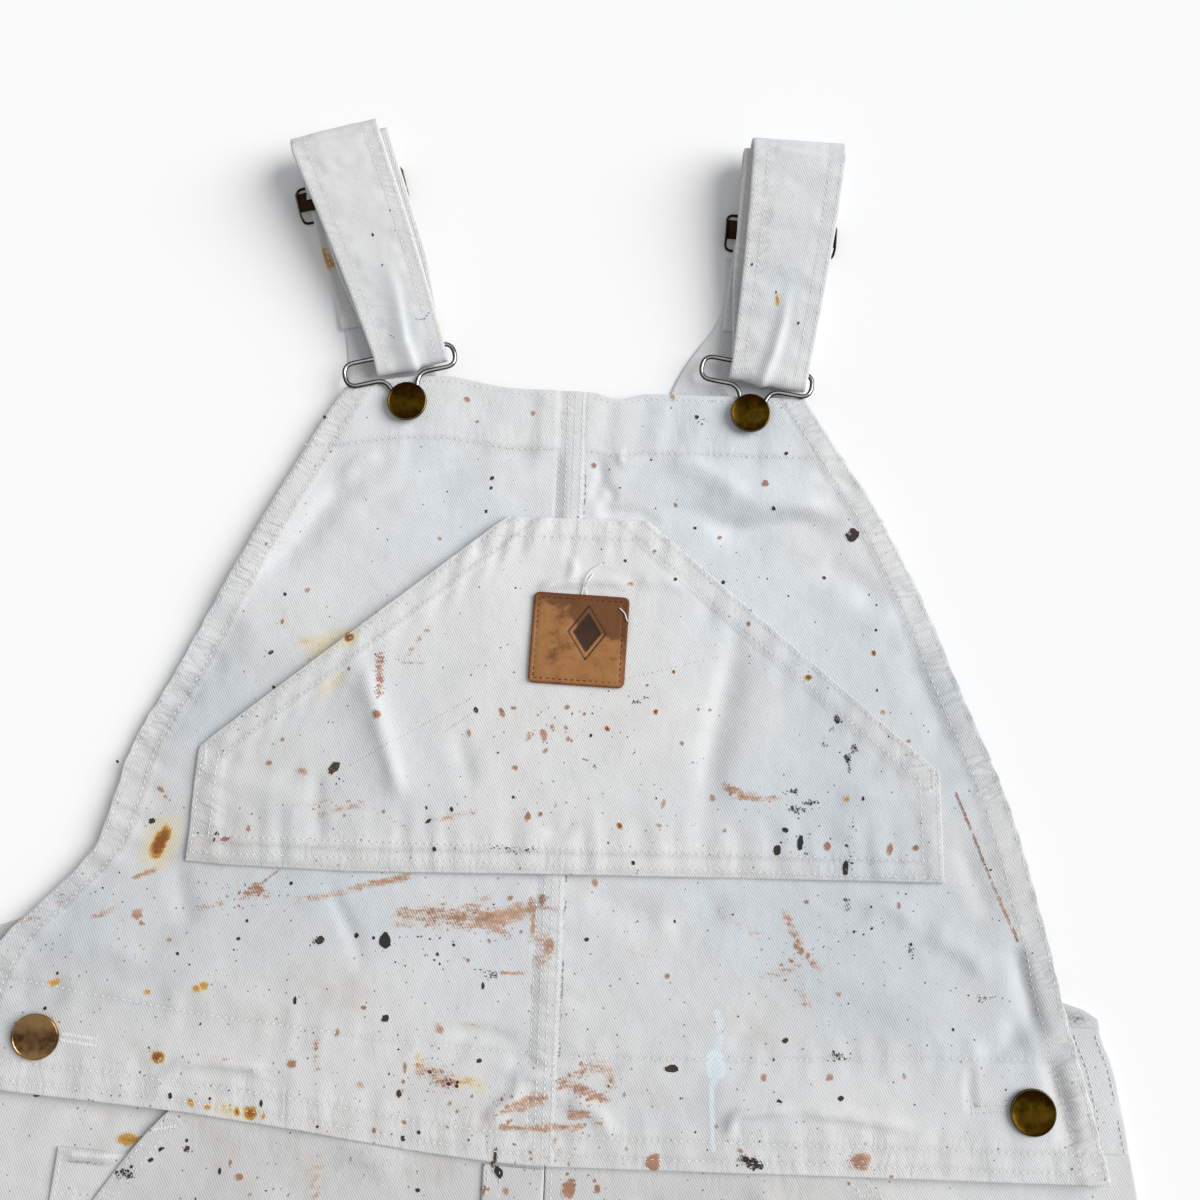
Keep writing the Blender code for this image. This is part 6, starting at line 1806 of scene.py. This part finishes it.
def mouth_tacks(sewing, side):
    """A tack at each end of a slanted mouth, and a zigzag of shorter ones down from its top."""
    sewing.tack(POCKET_X + side * 0.1685, 0.1755, 90, 0.0090, 0.0030, pocket_face, 14)
    sewing.tack(POCKET_X + side * 0.0360, 0.2880, side * -40, 0.0080, 0.0030, pocket_face, 12)
    for k in range(5):
        x, y = POCKET_X + side * (0.0385 + 0.0052 * k), 0.2850 - 0.0040 * k
        turn = side * (-1) ** k
        sewing.tack(x, y, 65 - 20 * turn, 0.0052, 0.0012, pocket_face, 6)
        sewing.tack(x - side * 0.003, y - 0.005, 25 + 30 * turn, 0.0048, 0.0012, pocket_face, 5)


def strap_stitches():
    sewing = Sewing("stitches_straps")
    for surface in STRAP_SURFACES.values():
        for share in (-0.455, -0.335, 0.335, 0.455):
            starts = np.arange(0.004, surface.length - 0.005, STITCH_PITCH)
            starts = starts + sewing.draw.normal(0, 0.0001, len(starts))
            v = share + 0 * starts
            lifted = surface.point(starts, v, lift=0.001) - surface.point(starts, v)
            away = lifted / np.linalg.norm(lifted, axis=1)[:, None]
            for outer, lift in ((True, away), (False, -away)):
                start, end = (surface.point(starts + step, v, outer) for step in (0, STITCH_PITCH * 0.74))
                ahead = end - start
                ahead /= np.linalg.norm(ahead, axis=1)[:, None]
                sewing.stitches(start, end, lift, np.cross(ahead, lift))
    sewing.sew()


def leg_line(x, row):
    """A line of the front legs, given before the waist seam bends it."""
    return x, follow_waist(x, row)


def sewn_leg_face(side):
    return lambda x, y: leg_face(side, x, y, leg_row(x, y))


def leg_stitches():
    sewing = Sewing("stitches_legs")
    for side in (-1, 1):
        name, face, mouth_foot = side_name(side), sewn_leg_face(side), SLANTS[side].side_y
        rows = np.linspace(mouth_foot, -0.002, 40)
        for inset in (0.0024, 0.0088):
            sewing.row(*leg_line(slant_x(side, rows) - side * inset, rows), face)
        for share in (0.06, 0.94):
            row = mouth_foot * share
            at = leg_line(float(slant_x(side, row)) - side * 0.0055, row)
            sewing.tack(*at, 10, 0.0095, 0.0022, face, 16)
        rows = np.linspace(HEM_Y + 0.003, mouth_foot - 0.002, 160)
        for inset in (0.0060, 0.0125):
            sewing.row(*leg_line(along(SILHOUETTE, name, rows) - side * inset, rows), face)
        rows = np.linspace(HEM_Y + 0.003, CROTCH_Y - 0.006, 120)
        sewing.row(*leg_line(along(INSEAMS, name, rows) + side * 0.0065, rows), face)
        for row in (HEM_Y + 0.0030, HEM_Y + LEG_HEM - 0.0020):
            start, end = along(INSEAMS, name, row) + side * 0.004, along(SILHOUETTE, name, row) - side * 0.004
            sewing.row(np.linspace(start, end, 60), np.full(60, row), face)
    fly_face = lambda x, y: sewn_leg_face(-1)(x, y) + CLOTH + LAID_GAP
    rows = np.linspace(FLY["bottom"] + 0.010, FLY["top"] - 0.001, 60)
    for inset in (0.0022, 0.0075):
        sewing.row(*leg_line(fly_edge(rows) + inset, rows), fly_face)
    rows = np.linspace(CROTCH_Y + 0.004, -0.002, 90)
    sewing.row(*leg_line(0.0030 + 0 * rows, rows), sewn_leg_face(1))
    small_pocket_stitches(sewing)
    sewing.sew()


def small_pocket_stitches(sewing):
    face = lambda x, y: SMALL_POCKET_FLOOR + CLOTH + 0.0003 + 0 * x
    low, high = SMALL_POCKET["bottom"], SMALL_POCKET["top"]
    rows = np.linspace(low + 0.003, high - 0.001, 24)
    left = small_pocket_side("left", rows)
    sewing.row(left + 0.0022, follow_waist(left, rows), face)
    xs = np.linspace(SMALL_POCKET["left"] + 0.002, SMALL_POCKET["right"] - 0.020, 24)
    for drop in (0.0024, 0.0125):
        sewing.row(*leg_line(xs, high - drop + 0 * xs), face)


def back_stitches():
    sewing = Sewing("stitches_back")
    back_face = lambda x, y: CLOTH + 0 * x
    placket_face = lambda x, y: PLACKET_FLOOR + CLOTH + 0.0003 + 0 * x
    for side in (-1, 1):
        name = side_name(side)
        rows = np.linspace(0.090, 0.427, 90)
        for inset in (0.0024, 0.0100):
            sewing.row(along(BACK_BIB_SIDES, name, rows) - side * inset, rows, back_face)
        rows = np.linspace(NECKLINE[0].y + 0.012, 0.427, 50)
        for inset in (0.0024, 0.0100):
            sewing.row(along(NECKLINE, name, rows) + side * inset, rows, back_face)
        rows = np.linspace(SLANTS[side].side_y, PLACKET_TOP - 0.002, 44)
        for inset in (0.0024, 0.0120):
            sewing.row(side_opening(side, rows) - side * inset, rows, placket_face)
    sewing.sew()


for sew_piece in (bib_stitches, pocket_stitches, strap_stitches, leg_stitches, back_stitches):
    sew_piece()


# ---- Leather patch ----------------------------------------------------------------------------------------
PATCH_LEAN = -2.0
PATCH_CORNER = 0.003
PATCH_STITCH_INSET = 0.0024
LOZENGE = (0.0068, 0.0098)
PATCH_HALF = (PATCH_SIZE[0] / 2, PATCH_SIZE[1] / 2)


def patch_point(u, v):
    """True x, y of a place on the patch, from its middle, in its own lean."""
    lean = math.radians(PATCH_LEAN)
    return (
        PATCH_CENTRE[0] + u * math.cos(lean) - v * math.sin(lean),
        PATCH_CENTRE[1] + u * math.sin(lean) + v * math.cos(lean),
    )


def patch_floor(x, y):
    """The patch's underside, which follows half of the pocket's own unevenness."""
    return pocket_top(x, y) + pocket_relief(x, y) * 0.5 + LAID_GAP


def patch_top(x, y):
    return patch_floor(x, y) + PATCH_LEATHER - 0.0002


def rounded_corners(u, v):
    """A rectangle's points, those of its corners drawn in to a round."""
    (half_w, half_h), r = PATCH_HALF, PATCH_CORNER
    past_u, past_v = np.clip(np.abs(u) - half_w + r, 0, 1), np.clip(np.abs(v) - half_h + r, 0, 1)
    corner = np.hypot(past_u, past_v)
    pull = np.where(corner > r, r / np.maximum(corner, 1e-6), 1)
    u = np.sign(u) * (np.minimum(np.abs(u), half_w - r) + past_u * pull)
    v = np.sign(v) * (np.minimum(np.abs(v), half_h - r) + past_v * pull)
    return u, v


def leather_patch():
    """Tan leather with a stamped lozenge, a ring pressed round it and a gutter for its stitches."""
    half_w, half_h = PATCH_HALF
    u, v = np.meshgrid(spaced(2 * half_w, 0.0007) - half_w, spaced(2 * half_h, 0.0007) - half_h)
    edge = np.minimum(half_w - np.abs(u), half_h - np.abs(v))
    u, v = rounded_corners(u, v)
    x, y = patch_point(u, v)
    lozenge = np.abs(u - 0.0035) / LOZENGE[0] + np.abs(v - 0.0035) / LOZENGE[1]
    stamp = np.maximum(1 - smooth((lozenge - 0.92) / 0.10), 0.9 * bell(lozenge - 1.30, 0.07))
    gutter = bell(edge - PATCH_STITCH_INSET, 0.0007)
    under = patch_floor(x, y)
    wavy = unevenness(x, y, 0.009, 301) * 0.00018 + unevenness(x, y, 0.004, 302) * 0.00007
    over = under + PATCH_LEATHER + wavy - 0.00032 * stamp - 0.00030 * gutter
    middle, top, bottom = rounded_faces(x, y, edge, over, under, 0.0007)
    wear = np.stack([1 - smooth(edge / 0.0020), stamp, smooth((v + u * 0.5) / 0.022), 0 * u], axis=-1)
    where = stacked(x, y, middle)
    patch = shell("patch_leather", "leather_patch", top, bottom, where, LEATHER, "brown_leather", wear=wear)


def patch_stitches():
    sewing = Sewing("stitches_patch", DARK_THREAD)
    inner_w, inner_h = (half - PATCH_STITCH_INSET for half in PATCH_HALF)
    border = ((-1, -1), (1, -1), (1, 1), (-1, 1), (-1, -1))
    for (au, av), (bu, bv) in zip(border, border[1:]):
        t = np.linspace(0, 1, 30)
        line = patch_point((au + (bu - au) * t) * inner_w, (av + (bv - av) * t) * inner_h)
        sewing.row(*line, patch_top, 0.0027)
    sewing.sew()


leather_patch()
patch_stitches()


# ---- Loose threads ----------------------------------------------------------------------------------------
def tube(points, radius, sides=8, closed=False):
    """A round wire along a line of points."""
    points = np.array(points)
    count = len(points)
    if closed:
        ahead = np.roll(points, -1, 0) - np.roll(points, 1, 0)
    else:
        ahead = np.gradient(points, axis=0)
    ahead /= np.linalg.norm(ahead, axis=1)[:, None]
    wide = np.cross(ahead, [0, 0, 1.0])
    wide /= np.linalg.norm(wide, axis=1)[:, None]
    lift = np.cross(wide, ahead)
    angle = np.arange(sides) * 2 * math.pi / sides
    ring = wide[:, None] * np.cos(angle)[None, :, None] + lift[:, None] * np.sin(angle)[None, :, None]
    skin = (points[:, None] + ring * radius).reshape(-1, 3)
    faces = []
    for i in range(count if closed else count - 1):
        j = (i + 1) % count
        for k in range(sides):
            m = (k + 1) % sides
            faces.append((i * sides + k, i * sides + m, j * sides + m, j * sides + k))
    if not closed:
        faces.append(tuple(range(sides))[::-1])
        faces.append(tuple((count - 1) * sides + k for k in range(sides)))
    return skin.tolist(), faces


LOOSE_THREADS = (
    ((0.0068, 0.2545), (0.0080, 0.2610), (0.0105, 0.2670), (0.0160, 0.2712)),
    ((0.0250, 0.2500), (0.0275, 0.2475), (0.0290, 0.2440), (0.0325, 0.2448)),
    ((0.0095, 0.2550), (0.0088, 0.2600), (0.0120, 0.2660)),
)


def loose_threads():
    """Ends of thread at the patch, the second of which lies over its edge."""
    points, faces = [], []
    for k, path in enumerate(LOOSE_THREADS):
        x, y = path_points(path, 24).T
        z = ground(x, y) + 0.0006 + 0.0008 * np.sin(np.linspace(0, math.pi, 24))
        if k == 1:
            z = np.maximum(z, patch_top(x, y) + 0.0006)
        more, walls = tube(placed(x, y, z), 0.00030, 6)
        faces += [tuple(len(points) + i for i in face) for face in walls]
        points += more
    build("loose_threads", points, faces, THREAD)


loose_threads()


# ---- Hooks, slides and buttons ----------------------------------------------------------------------------
def arc_path(corners, radius, step=0.0012):
    """A closed path through corners, each turned by an arc of up to this radius."""
    points = []
    total = len(corners)

    def run_to(start):
        last = points[-1]
        gap = np.linalg.norm(start - last)
        for t in np.linspace(0, 1, max(2, int(gap / step)))[1:-1]:
            points.append(last + (start - last) * t)

    for i, corner in enumerate(corners):
        back, ahead = corners[i - 1] - corner, corners[(i + 1) % total] - corner
        cut = min(radius, np.linalg.norm(back) * 0.48, np.linalg.norm(ahead) * 0.48)
        start, end = corner + back / np.linalg.norm(back) * cut, corner + ahead / np.linalg.norm(ahead) * cut
        if points:
            run_to(start)
        for t in np.linspace(0, 1, 9):
            points.append(start * (1 - t) ** 2 + corner * 2 * t * (1 - t) + end * t * t)
    run_to(points[0])
    return points


def wear_colour(red, painted_reflection):
    """The wear layer of old metal: how far it is rubbed bright, and its painted reflection, how light or dark
    it is.
    """
    return np.stack(np.broadcast_arrays(red, painted_reflection, 0.0, 1.0), axis=-1)


def hook(side):
    """A closed wire: a straight bar above, long legs that run down between it and the button."""
    strap = STRAPS[side]
    middle = np.array([strap.button[0], strap.button[1] + WAIST_Y, HOOK_HEIGHT])
    wide, up = across(strap.hook_lean), upward(strap.hook_lean)
    low = HOOK_BAR - HOOK_SLOT
    leg = 0.0049
    half = [(HOOK_HALF_WIDTH, HOOK_BAR), (HOOK_HALF_WIDTH, low)]
    half += [(leg + 0.0035, low), (leg, 0.0045), (leg, -leg)]
    outline = half + [(-u, v) for u, v in reversed(half)]
    corners = [middle + wide * u + up * v for u, v in outline]
    points, faces = tube(arc_path(corners, 0.0056), WIRE_RADIUS * 0.76, 16, closed=True)
    name = side_name(side)
    build(f"wire_hook_{name}", points, faces, NICKEL, f"hook_{name}")


def lathe(profile, sides):
    """Points and walls turned from radius and height, closed at both ends."""
    angle = np.arange(sides) * 2 * math.pi / sides
    points = [(r * math.cos(a), r * math.sin(a), h) for r, h in profile for a in angle]
    faces = []
    for r in range(len(profile) - 1):
        for k in range(sides):
            a, b = r * sides + k, r * sides + (k + 1) % sides
            faces.append((a, b, b + sides, a + sides))
    faces.append(tuple(range(sides))[::-1])
    faces.append(tuple(len(points) - sides + k for k in range(sides)))
    return np.array(points), faces


# A cap's cross-section, as shares of its radius and heights above its back in metres.
CAP = (
    (0.30, 0.0), (0.93, 0.0), (0.985, 0.00025), (1.0, 0.0008), (0.992, 0.00125), (0.965, 0.00165),
    (0.935, 0.00178), (0.905, 0.00168), (0.885, 0.00145), (0.865, 0.00138), (0.60, 0.00150), (0.30, 0.00158),
    (0.08, 0.00160),
)
ButtonStyle = namedtuple("ButtonStyle", "radius cap_height metal tilt")


def button(node, middle, style):
    """A cap on a post that stands on the cloth, worn at its rim, with a painted reflection across it."""
    x, y = middle
    foot = float(ground(x, y)) + 0.0001
    profile = [(0.0030, foot - style.cap_height)] + [(share * style.radius, height) for share, height in CAP]
    points, faces = lathe(profile, 72)
    radial = np.hypot(points[:, 0], points[:, 1]) / style.radius
    # Painted reflection: a band across the cap's middle, fading towards its top and bottom.
    painted_light = np.clip(0.75 - np.abs(points[:, 1] / style.radius + 0.15) * 0.9, 0, 1)
    points[:, 2] += np.where(radial > 0.32, points[:, 0] * style.tilt[0] + points[:, 1] * style.tilt[1], 0)
    points += np.array([x, y + WAIST_Y, style.cap_height])
    piece = build(f"cap_{node}", points, faces, style.metal, node)
    add_layer(piece, "wear", wear_colour(0.9 * bell(radial - 0.965, 0.02), painted_light))


def buttons(side):
    """The hook's button, level over the wire, and the side's, the left of which hangs tilted."""
    name = side_name(side)
    level = ButtonStyle(BUTTON_RADIUS, HOOK_HEIGHT + WIRE_RADIUS + GAP, BRASS, (0.0, 0.0))
    button(f"bib_button_{name}", STRAPS[side].button, level)
    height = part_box(f"side_button_{name}")[1][2] - 0.0018
    metal, tilt = (BRONZE, (-0.10, 0.09)) if side < 0 else (BRASS, (0.01, 0.01))
    button(f"side_button_{name}", SIDE_BUTTONS[side], ButtonStyle(SIDE_BUTTON_RADIUS, height, metal, tilt))


SLIDE_BAND = 0.0100  # width of a slide's band over the strap


def crowned_band(spine, up, width, half_thick):
    """Points and walls of a band along a line, thinner towards the edges of its width."""
    shares = np.linspace(-1, 1, 13)
    points = []
    for face in (1, -1):
        for middle in spine:
            for share in shares:
                crown = half_thick * math.sqrt(max(1 - share**4, 0.02)) * face
                points.append(middle + up * share * width / 2 + np.array([0, 0, crown]))
    rows, columns = len(spine), len(shares)
    half = rows * columns
    index, rim = grid_index(rows, columns)
    first = index[:-1, :-1].ravel()
    wall = np.stack([first, first + columns, first + columns + 1, first + 1], 1)
    after = np.roll(rim, -1)
    faces = np.concatenate([wall[:, ::-1], wall + half, np.stack([rim, after, after + half, rim + half], 1)])
    return points, faces


def slide(side):
    """A flat frame of wire whose ends rise, between its corners, to a band over the strap."""
    name = side_name(side)
    strap = STRAPS[side]
    length, width = SLIDE_SIZE
    raised = STRAP_PLY + SLIDE_SHEET + 2 * GAP
    wide, up = across(strap.slide_lean), upward(strap.slide_lean)
    middle = np.array([strap.slide[0], strap.slide[1] + WAIST_Y, 0.0])
    place_at = lambda u, v, z: middle + wide * u + up * v + np.array([0, 0, z])
    wire = SLIDE_SHEET / 2
    reach, rise = length / 2 - wire, width / 2 - wire
    loop = [place_at(u * reach, v * rise, wire) for u, v in ((1, -1), (1, 1), (-1, 1), (-1, -1))]
    ring = np.array(arc_path(loop, 0.0035, 0.0010))
    away = (ring - middle) @ wide / (length / 2)
    at_band = np.abs((ring - middle) @ up) / (width / 2)
    ring[:, 2] += raised * smooth((np.abs(away) - 0.86) / 0.08) * (1 - smooth((at_band - 0.45) / 0.35))
    points, faces = tube(ring, wire, 12, closed=True)
    ends = np.linspace(-length / 2 + 0.001, length / 2 - 0.001, 40)
    more, walls = crowned_band([place_at(u, 0, raised + wire) for u in ends], up, SLIDE_BAND, wire)
    faces += (walls + len(points)).tolist()
    points += more
    piece = build(f"plate_slide_{name}", points, faces, DARK, f"slide_{name}")
    rubbed = smooth((np.abs((np.array(points) - middle) @ wide) - length * 0.44) / 0.004)
    add_layer(piece, "wear", wear_colour(rubbed * (1.0 if side < 0 else 0.3), 0.4))


for fitting in (hook, buttons, slide):
    for side in (-1, 1):
        fitting(side)

# ---- Stage ------------------------------------------------------------------------------------------------
LENS = 38.94  # millimetres, on a sensor 36 mm wide
TILT, ROLL = math.radians(9.0), math.radians(2.0)
FLOOR_SEEN = (0.999, 0.999, 0.999, 1)
FLOOR_LIT = (0.80, 0.80, 0.80, 1)
WORLD_LEVEL = 0.40
KEY_STRENGTH = 2.80


def photo_camera():
    """Over the bib, leaning back a little and turned a little."""
    right = Vector((1, 0, 0))
    up = Vector((0, math.cos(TILT), math.sin(TILT)))
    ahead = Vector((0, math.sin(TILT), -math.cos(TILT)))
    camera = bpy.data.objects.new("camera", bpy.data.cameras.new("camera"))
    bpy.context.scene.collection.objects.link(camera)
    place = Matrix.Identity(4)
    place.col[0][:3] = right * math.cos(ROLL) + up * math.sin(ROLL)
    place.col[1][:3] = up * math.cos(ROLL) - right * math.sin(ROLL)
    place.col[2][:3] = -ahead
    place.col[3][:3] = (0.0157, WAIST_Y + BIB_HEIGHT - 0.1988, 0.6066 + 0.0075)
    camera.matrix_world = place
    camera.data.sensor_width = 36
    camera.data.lens = LENS
    bpy.context.scene.camera = camera


def floor():
    """Pale, and lifted to the background's level only where the camera sees it."""
    paper = Shader("paper", Roughness=1.0)
    seen = paper.add("LightPath", {}, 0)
    far, level = 4, -0.0002
    corners = [(-far, -far, level), (far, -far, level), (far, far, level), (-far, far, level)]
    mesh = bpy.data.meshes.new("floor")
    mesh.from_pydata(corners, [], [(0, 1, 2, 3)])
    mesh.materials.append(paper.finish(paper.mix(seen, FLOOR_LIT, FLOOR_SEEN)))
    paper_floor = bpy.data.objects.new("floor", mesh)
    bpy.context.scene.collection.objects.link(paper_floor)


def lights():
    """An even pale surround, and a large soft light far off to the upper right."""
    world = bpy.data.worlds.new("world")
    bpy.context.scene.world = world
    world.use_nodes = True
    world.node_tree.nodes["Background"].inputs[0].default_value = (0.97, 0.98, 1.0, 1)
    world.node_tree.nodes["Background"].inputs[1].default_value = WORLD_LEVEL
    lamp = bpy.data.lights.new("key", "SUN")
    lamp.energy = KEY_STRENGTH
    lamp.angle = math.radians(48)
    key = bpy.data.objects.new("key", lamp)
    bpy.context.scene.collection.objects.link(key)
    key.rotation_euler = Vector((-3.70, -0.90, -3.15)).to_track_quat("-Z", "Y").to_euler()


photo_camera()
floor()
lights()
bpy.context.scene.view_settings.view_transform = "Standard"
